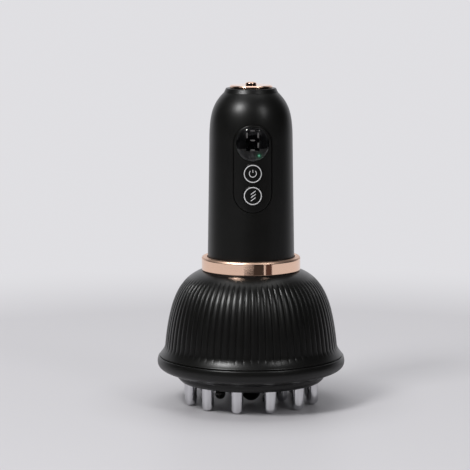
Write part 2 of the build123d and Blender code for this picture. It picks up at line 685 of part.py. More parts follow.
with BuildPart() as handle_shell:
    sleeve_form(0)
    sleeve_form(HANDLE_WALL, mode=Mode.SUBTRACT, drop=HANDLE_WALL)
    disc(skirt_radius + CAP_GAP, top_z - 2 * HANDLE_WALL, top_z, mode=Mode.SUBTRACT)
    add(panel_pocket.part, mode=Mode.SUBTRACT)
    stadium(
        panel_half_width - PANEL_LEDGE + PANEL_GAP,
        panel_top_z - PANEL_LEDGE + PANEL_GAP,
        panel_foot_z + PANEL_LEDGE - PANEL_GAP,
        mode=Mode.SUBTRACT,
    )
    with BuildSketch(Plane.XZ) as port_slot:
        with Locations((0, port_z)):
            SlotOverall(PORT_WIDTH + 2 * PORT_MARGIN, PORT_HEIGHT + 2 * PORT_MARGIN)
    extrude(port_slot.sketch, amount=-beyond, mode=Mode.SUBTRACT)
    head_floor = handle_foot_radius - HANDLE_WALL + (HANDLE_WALL - SLEEVE_SCREW[1]) / 2
    for side in (-1, 1):
        with Locations(Location((side * beyond / 2, 0, sleeve_screw_z), (0, 90, 0))):
            Cylinder(SLEEVE_SCREW[2] + 2 * SCREW_GAP, beyond, mode=Mode.SUBTRACT)
        with Locations(Location((side * (head_floor + beyond / 2), 0, sleeve_screw_z), (0, 90, 0))):
            Cylinder(SLEEVE_SCREW[0] + SCREW_GAP, beyond, mode=Mode.SUBTRACT)
save(handle_shell, "handle_shell")

with BuildPart() as sleeve_screws:
    for side in (-1, 1):
        head_x = side * (head_floor + SCREW_GAP + SLEEVE_SCREW[1] / 2)
        shank_x = side * (head_floor + SCREW_GAP - SCREW_BITE / 2)
        with Locations(Location((head_x, 0, sleeve_screw_z), (0, 90, 0))):
            Cylinder(SLEEVE_SCREW[0], SLEEVE_SCREW[1])
        with Locations(Location((shank_x, 0, sleeve_screw_z), (0, 90, 0))):
            Cylinder(SLEEVE_SCREW[2], SCREW_BITE)
save(sleeve_screws, "sleeve_screws")

# Control panel, window and keys
with BuildPart() as key_boss:
    boss_top = power_z + KEY_RADIUS + KEY_GAP + KEY_TRAVEL
    sleeve_form(PANEL_SINK + PANEL_THICK)
    sleeve_form(back_inset, mode=Mode.SUBTRACT)
    stadium(
        panel_half_width - PANEL_LEDGE,
        panel_top_z - PANEL_LEDGE,
        panel_foot_z + PANEL_LEDGE,
        mode=Mode.INTERSECT,
    )
    block((-beyond, beyond), (-beyond, beyond), (boss_top, top_z), mode=Mode.SUBTRACT)

with BuildPart() as control_panel:
    sleeve_form(PANEL_SINK)
    sleeve_form(PANEL_SINK + PANEL_THICK, mode=Mode.SUBTRACT)
    stadium(panel_half_width, panel_top_z, panel_foot_z, mode=Mode.INTERSECT)
    add(key_boss.part)
    rod(WINDOW_RADIUS + KEY_GAP, 0, window_z, 0, -beyond, mode=Mode.SUBTRACT)
    for key_z in (power_z, mode_z):
        rod(KEY_RADIUS + KEY_GAP, 0, key_z, 0, -beyond, mode=Mode.SUBTRACT)
save(control_panel, "control_panel")

with BuildPart() as display_lens:
    round_layer(WINDOW_RADIUS, window_z, PANEL_SINK + SNUG, window_inset)
save(display_lens, "display_lens")

for name, key_z in (("power_button", power_z), ("mode_button", mode_z)):
    with BuildPart() as key_flange:
        round_layer(KEY_RADIUS + KEY_FLANGE, key_z, flange_inset, key_inset)
    with BuildPart() as key:
        round_layer(KEY_RADIUS, key_z, PANEL_SINK, key_inset)
        add(key_flange.part)
        rod(KEY_POST, 0, key_z, post_end_y, key_inset - handle_foot_radius)
    save(key, name)

# Electronics behind the panel
with BuildPart() as control_pcb:
    block(
        (-BOARD_HALF_WIDTH, BOARD_HALF_WIDTH),
        (board_front_y, board_y),
        (board_foot_z, board_top_z),
    )
    for x, z in board_screw_points:
        rod(BOARD_SCREW[2] + 2 * SCREW_GAP, x, z, board_front_y, board_y, mode=Mode.SUBTRACT)
save(control_pcb, "control_pcb")

with BuildPart() as pcb_screws:
    for x, z in board_screw_points:
        rod(BOARD_SCREW[0], x, z, board_front_y, board_front_y - BOARD_SCREW[1])
        rod(BOARD_SCREW[2], x, z, board_front_y, board_y + CHEEK_THICK - CAP_GAP)
save(pcb_screws, "pcb_screws")

with BuildPart() as tact_switches:
    for key_z in (power_z, mode_z):
        half = SWITCH_SIZE / 2
        block((-half, half), (board_front_y - SWITCH_BODY, board_front_y), (key_z - half, key_z + half))
        rod(SWITCH_STEM_RADIUS, 0, key_z, board_front_y, switch_y)
save(tact_switches, "tact_switches")

with BuildPart() as key_pad:
    with BuildSketch(Plane.XZ.offset(-switch_y)) as pad_face:
        with Locations((0, (power_z + mode_z) / 2)):
            RectangleRounded(2 * PAD_HALF_WIDTH, power_z - mode_z + 2 * KEY_RADIUS, PAD_CORNER)
    extrude(pad_face.sketch, amount=PAD_THICK)
save(key_pad, "key_pad")

with BuildPart() as display_module:
    block(
        (-MODULE_HALF_WIDTH, MODULE_HALF_WIDTH),
        (module_y, board_front_y),
        (module_z - MODULE_HEIGHT / 2, module_z + MODULE_HEIGHT / 2),
    )
save(display_module, "display_module")

with BuildPart() as status_led:
    rod(LED_RADIUS, LED_X, led_z, board_front_y, module_y)
save(status_led, "status_led")

with BuildPart() as display_frame:
    sleeve_form(window_inset + SNUG)
    rod(WINDOW_RADIUS - FRAME_GAP, 0, window_z, board_front_y - SNUG, -beyond, mode=Mode.INTERSECT)
    block(
        (-MODULE_HALF_WIDTH - SNUG, MODULE_HALF_WIDTH + SNUG),
        (-beyond, 0),
        (module_z - MODULE_HEIGHT / 2 - SNUG, module_z + MODULE_HEIGHT / 2 + SNUG),
        mode=Mode.SUBTRACT,
    )
    rod(LED_RADIUS + SNUG, LED_X, led_z, 0, -beyond, mode=Mode.SUBTRACT)
save(display_frame, "display_frame")

# Cell and charging socket
with BuildPart() as battery_cell:
    disc(CELL_RADIUS, cell_foot_z, cell_top_z, at=(0, CELL_Y))
    fillet(battery_cell.edges().filter_by(GeomType.CIRCLE), radius=CELL_EDGE)
save(battery_cell, "battery_cell")

with BuildPart() as battery_tabs:
    tab = CELL_RADIUS / 2
    for low in (cell_foot_z - SNUG - TAB_THICK, cell_top_z + SNUG):
        block((-tab, tab), (CELL_Y - tab, CELL_Y + tab), (low, low + TAB_THICK))
save(battery_tabs, "battery_tabs")

with BuildPart() as charge_board:
    block((-CHARGE_HALF_WIDTH, CHARGE_HALF_WIDTH), (charge_y, port_y), (charge_foot_z, charge_top_z))
    for x, z in charge_screw_points:
        rod(CHARGE_SCREW[2] + 2 * SCREW_GAP, x, z, charge_y, port_y, mode=Mode.SUBTRACT)
save(charge_board, "charge_board")

with BuildPart() as charge_board_screws:
    for x, z in charge_screw_points:
        rod(CHARGE_SCREW[0], x, z, port_y, port_y + CHARGE_SCREW[1])
        rod(CHARGE_SCREW[2], x, z, charge_y - BACK_WALL, port_y)
save(charge_board_screws, "charge_board_screws")

with BuildPart() as usb_port:
    port_mouth_y = handle_foot_radius - HANDLE_WALL - CAP_GAP
    with BuildSketch(Plane.XZ.offset(-port_y)) as port_outer:
        with Locations((0, port_z)):
            SlotOverall(PORT_WIDTH, PORT_HEIGHT)
    extrude(port_outer.sketch, amount=-(port_mouth_y - port_y))
    with BuildSketch(Plane.XZ.offset(-port_y - PORT_SHELL)) as port_inner:
        with Locations((0, port_z)):
            SlotOverall(PORT_WIDTH - 2 * PORT_SHELL, PORT_HEIGHT - 2 * PORT_SHELL)
    extrude(port_inner.sketch, amount=-(port_mouth_y - port_y), mode=Mode.SUBTRACT)
    tongue_half = PORT_WIDTH / 2 - PORT_HEIGHT / 2
    block(
        (-tongue_half, tongue_half),
        (port_y, port_mouth_y - 2 * PORT_SHELL),
        (port_z - PORT_TONGUE / 2, port_z + PORT_TONGUE / 2),
    )
save(usb_port, "usb_port")

# Inner frame of the handle
with BuildPart() as chassis:
    disc(chassis_radius, base_top_z, top_shelf_z)
    disc(chassis_radius - RAIL_THICK, base_top_z, top_shelf_z, mode=Mode.SUBTRACT)
    block(
        (-beyond, beyond),
        (-RAIL_HALF_WIDTH, RAIL_HALF_WIDTH),
        (base_top_z, top_shelf_z),
        mode=Mode.INTERSECT,
    )
    disc(base_radius, dome_top_z, base_top_z)
    disc(chassis_radius, base_top_z, shelf_plate_top)
    disc(top_shelf_radius, top_shelf_z, top_shelf_z + TOP_SHELF_THICK)
    disc(throat_radius + CAP_GAP, dome_top_z, base_top_z, mode=Mode.SUBTRACT)
    for side in (-1, 1):
        cheek = sorted((side * cheek_inner, side * cheek_outer))
        cheek_y = (board_y, board_y + CHEEK_THICK)
        block(cheek, cheek_y, (board_foot_z, top_shelf_z))
        disc(DUCT_RADIUS, base_top_z, 2 * beyond + top_z, at=(side * duct_x, 0), mode=Mode.SUBTRACT)
        with Locations(Location((side * base_radius, 0, sleeve_screw_z), (0, 90, 0))):
            Cylinder(SLEEVE_SCREW[2] + SCREW_GAP, 2 * SCREW_BITE, mode=Mode.SUBTRACT)
    block(
        (-back_wall_half, back_wall_half),
        (charge_y - BACK_WALL, charge_y),
        (shelf_plate_top, back_wall_top),
    )
    for x, z in board_screw_points:
        rod(
            BOARD_SCREW[2] + SCREW_GAP, x, z, board_y,
            board_y + CHEEK_THICK - CAP_GAP + SCREW_GAP, mode=Mode.SUBTRACT,
        )
    for x, z in charge_screw_points:
        rod(CHARGE_SCREW[2] + SCREW_GAP, x, z, charge_y - BACK_WALL, charge_y, mode=Mode.SUBTRACT)
    with PolarLocations(neck_screw_ring, NECK_SCREW_COUNT, start_angle=NECK_SCREW_ANGLE):
        with Locations((0, 0, dome_top_z)):
            Cylinder(NECK_SCREW[2] + SCREW_GAP, SCREW_BITE, align=UP, mode=Mode.SUBTRACT)
save(chassis, "chassis")

with BuildPart() as neck_screws:
    with PolarLocations(neck_screw_ring, NECK_SCREW_COUNT, start_angle=NECK_SCREW_ANGLE):
        with Locations((0, 0, dome_ceiling_z - NECK_SCREW[1])):
            Cylinder(NECK_SCREW[0], NECK_SCREW[1], align=UP)
            Cylinder(NECK_SCREW[2], NECK_SCREW[1] + DOME_WALL + SCREW_BITE - CAP_GAP, align=UP)
save(neck_screws, "neck_screws")

# Oil tank and its floor, whose spigot holds the tube
with BuildPart() as oil_tank:
    turned([
        (tank_radius - TANK_WALL, tank_wall_z),
        (tank_radius, tank_wall_z),
        (tank_radius, tank_side_top),
        (tank_cone_radius, tank_cone_top),
        (neck_radius, tank_cone_top),
        (neck_radius, neck_top),
        (neck_bore, neck_top),
        (neck_bore, tank_cone_top - TANK_WALL),
        (tank_cone_radius - TANK_WALL, tank_cone_top - TANK_WALL),
        (tank_radius - TANK_WALL, tank_side_top - TANK_WALL / 2),
    ])
save(oil_tank, "oil_tank")

with BuildPart() as tank_floor:
    disc(tank_radius, tank_foot_z, tank_wall_z)
    disc(TUBE_BORE - SNUG, tank_foot_z - SPIGOT_LENGTH, tank_foot_z, at=(duct_x, 0))
    disc(TUBE_BORE / 2, tank_foot_z - SPIGOT_LENGTH, tank_wall_z, at=(duct_x, 0), mode=Mode.SUBTRACT)
save(tank_floor, "tank_floor")

with BuildPart() as neck_seal:
    disc(neck_radius - SNUG, neck_top, seal_z)
    disc(neck_bore + SNUG, neck_top, seal_z, mode=Mode.SUBTRACT)
save(neck_seal, "neck_seal")

with BuildPart() as oil_tube:
    tube_foot_z = floor_z + NOZZLE_TOP / 2
    with BuildLine() as tube_path:
        FilletPolyline(
            (duct_x, 0, tank_foot_z - SNUG),
            (duct_x, 0, tube_bend_z),
            (0, 0, carrier_top_z),
            (0, 0, tube_foot_z),
            radius=duct_x,
        )
    with BuildSketch(Plane.XY.offset(tank_foot_z - SNUG)) as tube_end:
        with Locations((duct_x, 0)):
            Circle(TUBE_RADIUS)
            Circle(TUBE_BORE, mode=Mode.SUBTRACT)
    sweep(tube_end.sketch, path=tube_path.line)
save(oil_tube, "oil_tube")

with BuildPart() as check_valve:
    disc(TUBE_RADIUS, floor_z + PIN_HEAD, tube_foot_z - SNUG)
    disc(NOZZLE_BORE, floor_z + PIN_HEAD, tube_foot_z - SNUG, mode=Mode.SUBTRACT)
save(check_valve, "check_valve")

# Pump that hangs in the tank's neck, with the cap that turns on it
with BuildPart() as pump_barrel:
    disc(barrel_radius, barrel_foot_z, top_z)
    disc(flange_radius, flange_z, top_z)
    disc(barrel_bore, spring_foot_z, piston_top_z, mode=Mode.SUBTRACT)
    disc(knob_bore, piston_top_z, top_z, mode=Mode.SUBTRACT)
    disc(TUBE_BORE, barrel_foot_z, spring_foot_z, mode=Mode.SUBTRACT)
save(pump_barrel, "pump_barrel")

with BuildPart() as pump_knob:
    dome_edge = knob_top_z - KNOB_DOME
    with BuildSketch(Plane.XZ) as knob_section:
        with BuildLine():
            Polyline(
                (0, knob_top_z),
                (0, piston_z),
                (barrel_bore - KEY_GAP, piston_z),
                (barrel_bore - KEY_GAP, piston_top_z - KEY_GAP),
                (knob_radius, piston_top_z - KEY_GAP),
                (knob_radius, dome_edge),
            )
            Bezier((knob_radius, dome_edge), (knob_radius, knob_top_z), (0, knob_top_z))
        make_face()
    revolve(knob_section.sketch, axis=Axis.Z)
save(pump_knob, "pump_knob")

with BuildPart() as pump_spring:
    spring_rise = piston_z - spring_foot_z - 2 * SPRING_WIRE - 2 * SNUG
    with BuildLine(Plane.XY.offset(spring_foot_z + SPRING_WIRE + SNUG)) as coil:
        Helix(pitch=spring_rise / SPRING_TURNS, height=spring_rise, radius=spring_radius)
    with BuildSketch(Plane(origin=coil.line @ 0, z_dir=coil.line % 0)) as wire_end:
        Circle(SPRING_WIRE)
    sweep(wire_end.sketch, path=coil.line)
save(pump_spring, "pump_spring")

with BuildPart() as filler_cap:
    skirt_foot = cap_foot_z - CAP_SKIRT_LENGTH
    turned([
        (knob_bore, cap_foot_z),
        (skirt_inner, cap_foot_z),
        (skirt_inner, skirt_foot),
        (skirt_radius, skirt_foot),
        (skirt_radius, cap_foot_z),
        (cap_radius - CAP_BEVEL / 2, cap_foot_z),
        (cap_radius, cap_foot_z + CAP_BEVEL / 2),
        (cap_radius, cap_top_z - CAP_BEVEL),
        (cap_radius - CAP_BEVEL, cap_top_z),
        (knob_bore, cap_top_z),
    ])
save(filler_cap, "filler_cap")

# Deck across the head, with the motor
with BuildPart() as head_carrier:
    disc(dome_foot_inner - CARRIER_GAP, tongue_top_z, carrier_top_z)
    disc(CARRIER_HOLE, tongue_top_z, carrier_top_z, mode=Mode.SUBTRACT)
    disc(DUCT_RADIUS, tongue_top_z, carrier_top_z, at=(-wire_hole_x, 0), mode=Mode.SUBTRACT)
    with PolarLocations(carrier_ring, CARRIER_COUNT, start_angle=CARRIER_ANGLE):
        Cylinder(PLATE_SCREW[2] + 2 * SCREW_GAP, beyond * 2, mode=Mode.SUBTRACT)
    for point in ear_points:
        disc(PLATE_SCREW[2] + SCREW_GAP, tongue_top_z, carrier_top_z, at=point, mode=Mode.SUBTRACT)
save(head_carrier, "head_carrier")

with BuildPart() as carrier_screws:
    with PolarLocations(carrier_ring, CARRIER_COUNT, start_angle=CARRIER_ANGLE):
        screws(PLATE_SCREW, carrier_top_z, 2 * SCREW_BITE)
save(carrier_screws, "carrier_screws")

with BuildPart() as motor_bracket:
    with BuildSketch(Plane.XY.offset(carrier_top_z)) as foot_plan:
        with Locations(*ear_points):
            Circle(EAR_RADIUS)
        with Locations((0, MOTOR_Y)):
            Rectangle(2 * MOTOR_EARS, 2 * EAR_RADIUS)
            Circle(MOTOR_RADIUS + MOTOR_CUP_WALL)
        with Locations(*ear_points):
            Circle(PLATE_SCREW[2] + 2 * SCREW_GAP, mode=Mode.SUBTRACT)
    extrude(foot_plan.sketch, amount=CARRIER_THICK)
    disc(MOTOR_RADIUS + MOTOR_CUP_WALL, cup_z, cup_z + MOTOR_CUP_HEIGHT, at=(0, MOTOR_Y))
    disc(MOTOR_RADIUS + SNUG, cup_z, cup_z + MOTOR_CUP_HEIGHT, at=(0, MOTOR_Y), mode=Mode.SUBTRACT)
save(motor_bracket, "motor_bracket")

with BuildPart() as bracket_screws:
    with Locations(*ear_points):
        screws(PLATE_SCREW, cup_z, 2 * CARRIER_THICK - CAP_GAP)
save(bracket_screws, "bracket_screws")

with BuildPart() as motor_end_cap:
    disc(MOTOR_RADIUS, cup_z + SNUG, motor_split_z, at=(0, MOTOR_Y))
save(motor_end_cap, "motor_end_cap")

with BuildPart() as vibration_motor:
    disc(MOTOR_RADIUS, motor_split_z, motor_top_z, at=(0, MOTOR_Y))
    disc(SHAFT_RADIUS + RUN_GAP, motor_top_z - SHAFT_SINK, motor_top_z, at=(0, MOTOR_Y), mode=Mode.SUBTRACT)
save(vibration_motor, "vibration_motor")

with BuildPart() as motor_shaft:
    disc(SHAFT_RADIUS, motor_top_z - SHAFT_SINK + CAP_GAP, motor_top_z + SHAFT_RISE, at=(0, MOTOR_Y))
save(motor_shaft, "motor_shaft")

with BuildPart() as eccentric_weight:
    with BuildSketch(Plane.XY.offset(weight_z)) as weight_plan:
        with Locations((0, MOTOR_Y)):
            Circle(WEIGHT_RADIUS)
        with Locations((0, MOTOR_Y + WEIGHT_RADIUS)):
            Rectangle(2 * WEIGHT_RADIUS, 2 * WEIGHT_RADIUS, mode=Mode.INTERSECT)
        with Locations((0, MOTOR_Y)):
            Circle(WEIGHT_HUB)
            Circle(SHAFT_RADIUS, mode=Mode.SUBTRACT)
    extrude(weight_plan.sketch, amount=WEIGHT_THICK)
save(eccentric_weight, "eccentric_weight")

# Wires from the control board down to the contact board
with BuildPart() as wire_loom:
    with BuildLine() as wire_path:
        FilletPolyline(
            (-WIRE_TOP_X, board_y, wire_top_z),
            (-WIRE_TOP_X, board_y + 3 * WIRE_RADIUS, wire_top_z),
            (-duct_x, 0, wire_top_z - duct_x),
            (-duct_x, 0, tube_bend_z + 2 * WIRE_RADIUS),
            (-wire_hole_x, 0, carrier_top_z + 2 * WIRE_RADIUS),
            (-wire_hole_x, 0, contact_top_z),
            radius=[WIRE_RADIUS * 1.3, duct_x / 2, duct_x, duct_x],
        )
    with BuildSketch(Plane(origin=wire_path.line @ 0, z_dir=wire_path.line % 0)) as wire_face:
        Circle(WIRE_RADIUS)
    sweep(wire_face.sketch, path=wire_path.line)
save(wire_loom, "wire_loom")
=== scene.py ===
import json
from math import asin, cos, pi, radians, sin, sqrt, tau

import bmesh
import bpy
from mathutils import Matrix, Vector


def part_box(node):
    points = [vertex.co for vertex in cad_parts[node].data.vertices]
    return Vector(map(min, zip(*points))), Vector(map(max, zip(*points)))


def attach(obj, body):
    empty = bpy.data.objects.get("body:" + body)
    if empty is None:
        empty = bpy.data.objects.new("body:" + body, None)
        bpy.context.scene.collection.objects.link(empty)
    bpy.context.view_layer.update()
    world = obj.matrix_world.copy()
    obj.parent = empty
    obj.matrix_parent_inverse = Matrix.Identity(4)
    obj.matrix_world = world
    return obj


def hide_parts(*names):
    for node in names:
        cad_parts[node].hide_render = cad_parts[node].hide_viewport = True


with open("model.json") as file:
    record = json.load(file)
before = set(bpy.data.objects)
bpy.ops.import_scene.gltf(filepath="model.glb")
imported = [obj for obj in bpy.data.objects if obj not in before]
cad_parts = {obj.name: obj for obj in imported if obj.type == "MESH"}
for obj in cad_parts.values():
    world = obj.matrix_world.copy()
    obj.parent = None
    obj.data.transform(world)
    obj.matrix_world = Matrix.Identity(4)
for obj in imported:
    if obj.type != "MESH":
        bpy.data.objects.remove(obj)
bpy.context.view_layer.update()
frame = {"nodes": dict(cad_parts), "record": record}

# %% [markdown]
# # A hand-held massager that stands on its pins
#
# The fixed frame comes first: every part of the massager at its real size, in metres, with Z up
# through the handle and the keys facing -Y. This lesson gives each part its looks. Parts that a
# buyer sees are modelled again as finer closed meshes in the same place. Parts inside keep the
# shape they came with and get a finish of their own.

mm = 0.001
nodes = frame["nodes"]
slots = {part["node"]: part["material_slot"] for part in frame["record"]["subparts"]}


def placed(name, data):
    """An object of that name, put in the scene."""
    thing = bpy.data.objects.new(name, data)
    bpy.context.scene.collection.objects.link(thing)
    return thing


# %% [markdown]
# ## Camera
#
# The photograph looks at the massager from a little above, with a long lens. A camera can be
# placed by trial, but here its place was worked out from how round the collar and the seam look:
# a circle seen from above is an ellipse, and its height tells the angle. The camera aims at the
# axis of the handle, and a small shift of the lens puts that axis right of the picture's middle.

# %% Camera
camera_place = Vector((-56.1 * mm, -1284.8 * mm, 264 * mm))
camera_pitch = radians(7.7)
lens_length, sensor_width = 186.8, 36
axis_column, picture_width = 251, 470

camera = placed("camera", bpy.data.cameras.new("camera"))
bpy.context.scene.camera = camera
camera.data.sensor_width = sensor_width
camera.data.lens = lens_length
camera.data.shift_x = 0.5 - axis_column / picture_width
camera.data.clip_end = 50
level = Vector((-camera_place.x, -camera_place.y, 0)).normalized() * cos(camera_pitch)
gaze = level - Vector((0, 0, sin(camera_pitch)))
camera.location = camera_place
camera.rotation_euler = gaze.to_track_quat("-Z", "Y").to_euler()
print("camera stands", round(camera_place.length, 2), "m away")

# %% [markdown]
# ## Node trees written as sums
#
# A finish is a small network of nodes, and so is a shape that follows a rule. Wiring them one by
# one is long to read. Here `add` makes any node from its settings and its inputs, and each output
# comes back as a `Value`, on which plus, minus, times and divide add Math nodes by themselves.


# %% Node trees
class Value:
    """An output of a node, on which Python's operators add Math nodes."""

    def __init__(self, tree, socket):
        self.tree, self.socket = tree, socket

    def __add__(self, other):
        return self.tree.math("ADD", self, other)

    def __radd__(self, other):
        return self.tree.math("ADD", other, self)

    def __sub__(self, other):
        return self.tree.math("SUBTRACT", self, other)

    def __rsub__(self, other):
        return self.tree.math("SUBTRACT", other, self)

    def __mul__(self, other):
        return self.tree.math("MULTIPLY", self, other)

    def __rmul__(self, other):
        return self.tree.math("MULTIPLY", other, self)

    def __truediv__(self, other):
        return self.tree.math("DIVIDE", self, other)


class Tree:
    """A node tree, built one call at a time."""

    def __init__(self, tree):
        self.tree = tree

    def add(self, kind, settings=None, values=None, output=0):
        node = self.tree.nodes.new(kind)
        for key, setting in (settings or {}).items():
            setattr(node, key, setting)
        for key, value in (values or {}).items():
            if isinstance(value, Value):
                self.tree.links.new(value.socket, node.inputs[key])
            else:
                node.inputs[key].default_value = value
        return Value(self, node.outputs[output]) if node.outputs else node

    def math(self, operation, *values):
        return self.add("ShaderNodeMath", {"operation": operation}, dict(enumerate(values)))

    def step(self, value, low, high):
        """0 below low, 1 above high, and a smooth ramp between."""
        settings = {"interpolation_type": "SMOOTHSTEP"}
        return self.add("ShaderNodeMapRange", settings, {"Value": value, "From Min": low, "From Max": high})

    def mix(self, factor, first, second):
        """One colour fading into another."""
        first, second = (c if isinstance(c, Value) else (*c, 1) for c in (first, second))
        return self.add("ShaderNodeMix", {"data_type": "RGBA"}, {0: factor, 6: first, 7: second}, output=2)

    def parts_of(self, vector):
        """The x, y and z of a vector."""
        split = self.add("ShaderNodeSeparateXYZ", None, {0: vector})
        return [Value(self, socket) for socket in split.socket.node.outputs]


print("node helpers ready")

# %% [markdown]
# ## Finishes
#
# No moulded surface is one flat colour. A finish here has a colour that drifts a little, a
# roughness that varies where hands and tools have been, and a fine grain as bump. `Finish` starts
# a material with noise on the object's own coordinates, so a pattern stays put when a part moves.


# %% A finish with drift and grain
class Finish(Tree):
    """A material with one principled shader."""

    def __init__(self, name):
        self.material = bpy.data.materials.new(name)
        self.material.use_nodes = True
        super().__init__(self.material.node_tree)
        self.shader = self.tree.nodes["Principled BSDF"]
        self.place = self.add("ShaderNodeTexCoord", output=3)

    def noise(self, size, detail=2.0):
        """Noise whose patches are about that size."""
        values = {"Vector": self.place, "Scale": 1 / size, "Detail": detail}
        return self.add("ShaderNodeTexNoise", None, values)

    def grain(self, size, depth, height=None):
        """Bump from fine noise, or from the height that is given."""
        height = self.noise(size) if height is None else height
        self.put("Normal", self.add("ShaderNodeBump", None, {"Distance": depth, "Height": height}))

    def put(self, socket, value):
        if isinstance(value, Value):
            self.tree.links.new(value.socket, self.shader.inputs[socket])
        else:
            self.shader.inputs[socket].default_value = value


def moulded(name, colour, roughness, drift=0.15, grain=(0.35 * mm, 0.01 * mm), **fixed):
    """A finish whose colour and roughness drift, with a fine grain."""
    finish = Finish(name)
    cloud = finish.noise(9 * mm, 3.0)
    dark, light = ([c * share for c in colour] for share in (1 - drift, 1 + drift))
    finish.put("Base Color", finish.mix(finish.step(cloud, 0.35, 0.65), dark, light))
    finish.put("Roughness", roughness + (cloud - 0.5) * drift)
    finish.grain(*grain)
    for socket, value in fixed.items():
        finish.put(socket.replace("_", " "), value)
    return finish


print("finish helpers ready")

# %% [markdown]
# The handle has a soft-touch paint: nearly black, with a wide dull sheen. The dome is the bare
# moulding, a little shinier. Both are plastics, so they reflect a few parts in a hundred face on
# and much more at their edges, which gives the pale rims in the photograph. A plain black would do
# from afar, but up close the drift in roughness is what makes it look painted.

# %% Black plastics
finishes = {}
black_sheen = 0.36
finishes["soft_black"] = moulded(
    "soft_black", (0.0042, 0.0042, 0.0038), 0.35, 0.06, Specular_IOR_Level=black_sheen
).material
finishes["satin_black"] = moulded(
    "satin_black", (0.0044, 0.0044, 0.0040), 0.32, 0.06, Specular_IOR_Level=black_sheen
).material
finishes["gloss_black"] = moulded("gloss_black", (0.005, 0.005, 0.005), 0.12, 0.05).material
print("plastics:", list(finishes))

# %% [markdown]
# The collar, cap and knob are plated rose gold, and the pins are plated and polished steel. A
# mirror has no colour of its own but what it tints, so most of the work is done by what stands
# round it. Fine hairlines from polishing run round the collar: noise that depends only on reach
# and height makes them, so it can't change along the turn. A bevel is often left duller than the
# band under it, so a height can be given above which the polish ends.


# %% Plated metals
def plated(name, colour, roughness, hairline=0.004 * mm, matt_above=None):
    """Polished metal with hairlines that run round the Z axis, duller above a height."""
    finish = Finish(name)
    x, y, z = finish.parts_of(finish.place)
    reach = finish.math("SQRT", x * x + y * y)
    lines = finish.add("ShaderNodeCombineXYZ", None, {0: reach, 2: z})
    hairs = {"Vector": lines, "Scale": 1 / (0.12 * mm), "Detail": 2.0}
    fine = finish.add("ShaderNodeTexNoise", None, hairs)
    cloud = finish.noise(6 * mm)
    finish.put("Base Color", finish.mix(cloud, [c * 0.94 for c in colour], colour))
    dull = 0 if matt_above is None else finish.step(z, matt_above, matt_above + 0.1 * mm) * 0.36
    finish.put("Roughness", roughness + dull + (cloud - 0.5) * 0.06)
    finish.put("Metallic", 1.0)
    finish.grain(0, hairline, fine)
    return finish.material


finishes["rose_gold"] = plated("rose_gold", (0.88, 0.60, 0.46), 0.08)
finishes["pin_metal"] = plated("pin_metal", (0.74, 0.74, 0.76), 0.09)
finishes["steel"] = plated("steel", (0.55, 0.55, 0.56), 0.35)
finishes["brass"] = plated("brass", (0.62, 0.46, 0.20), 0.30)
print("metals: rose_gold, pin_metal, steel, brass")

# %% [markdown]
# The beads between the pins are dark polished stone with faint paler flecks. A thin clear coat
# over a dull body gives the small sharp highlight of a polish.


# %% Stone
def stone():
    finish = Finish("dark_stone")
    flecks = finish.step(finish.noise(1.1 * mm, 6.0), 0.52, 0.7)
    finish.put("Base Color", finish.mix(flecks, (0.010, 0.009, 0.007), (0.06, 0.052, 0.03)))
    finish.put("Roughness", 0.22 + flecks * 0.15)
    finish.put("Coat Weight", 0.8)
    finish.put("Coat Roughness", 0.05)
    finish.grain(0.8 * mm, 0.006 * mm)
    return finish.material


finishes["dark_stone"] = stone()
print("stone ready")

# %% [markdown]
# Inside are boards, a cell, wires, tubes and plain mouldings. They show only when the massager is
# taken apart, yet each has its own finish: the board's green mask has paler copper tracks under
# it. Drawing each track would be long, so the thin joints of a brick pattern stand in for them.


# %% Inner finishes
def board():
    finish = Finish("board_green")
    joints = {"Vector": finish.place, "Scale": 1 / (9 * mm), "Mortar Size": 0.03}
    tracks = finish.add("ShaderNodeTexBrick", {"offset": 0.5}, joints, output=1)
    finish.put("Base Color", finish.mix(tracks, (0.012, 0.07, 0.035), (0.03, 0.15, 0.075)))
    finish.put("Roughness", 0.3 + tracks * 0.1)
    finish.grain(0, 0.03 * mm, tracks)
    return finish.material


finishes["board_green"] = board()
inner_finishes = {
    "cell_wrap": ((0.05, 0.12, 0.35), 0.3),
    "rubber": ((0.02, 0.02, 0.02), 0.7),
    "silicone": ((0.5, 0.5, 0.47), 0.45),
    "frame_plastic": ((0.12, 0.12, 0.12), 0.5),
    "tank_plastic": ((0.6, 0.6, 0.56), 0.3),
    "wire_red": ((0.4, 0.03, 0.03), 0.45),
}
for name, (colour, roughness) in inner_finishes.items():
    finishes[name] = moulded(name, colour, roughness).material
print("inner finishes:", 1 + len(inner_finishes))

# %% [markdown]
# The window is smoked and clear: light passes, so the digit behind it shows, and its skin and
# ground edge still mirror the lamps. A black disc would hide the digit. The signs are white print
# with a little light behind them, and the small lamp is green and brightest in its middle.


# %% Window, signs and lamps
def smoked():
    finish = Finish("smoked_lens")
    haze = finish.noise(5 * mm)
    finish.put("Base Color", finish.mix(haze, (0.42, 0.42, 0.43), (0.45, 0.45, 0.46)))
    finish.put("Roughness", 0.02 + haze * 0.02)
    finish.put("Transmission Weight", 1.0)
    finish.put("IOR", 1.5)
    return finish.material


def glowing(name, colour, strength, edge=0.75):
    """White or coloured print with light behind it, a little uneven."""
    finish = Finish(name)
    uneven = finish.noise(1.5 * mm)
    lit = finish.mix(uneven, [c * edge for c in colour], colour)
    finish.put("Base Color", lit)
    finish.put("Roughness", 0.4 + uneven * 0.1)
    finish.put("Emission Color", lit)
    finish.put("Emission Strength", strength)
    return finish.material


finishes["smoked_lens"] = smoked()


def from_lamp(finish, x, z):
    """How far a point lies from the middle of the small lamp, seen from the front."""
    low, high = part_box("status_led")
    x, z = x - (low.x + high.x) / 2, z - (low.z + high.z) / 2
    return finish.math("SQRT", x * x + z * z)


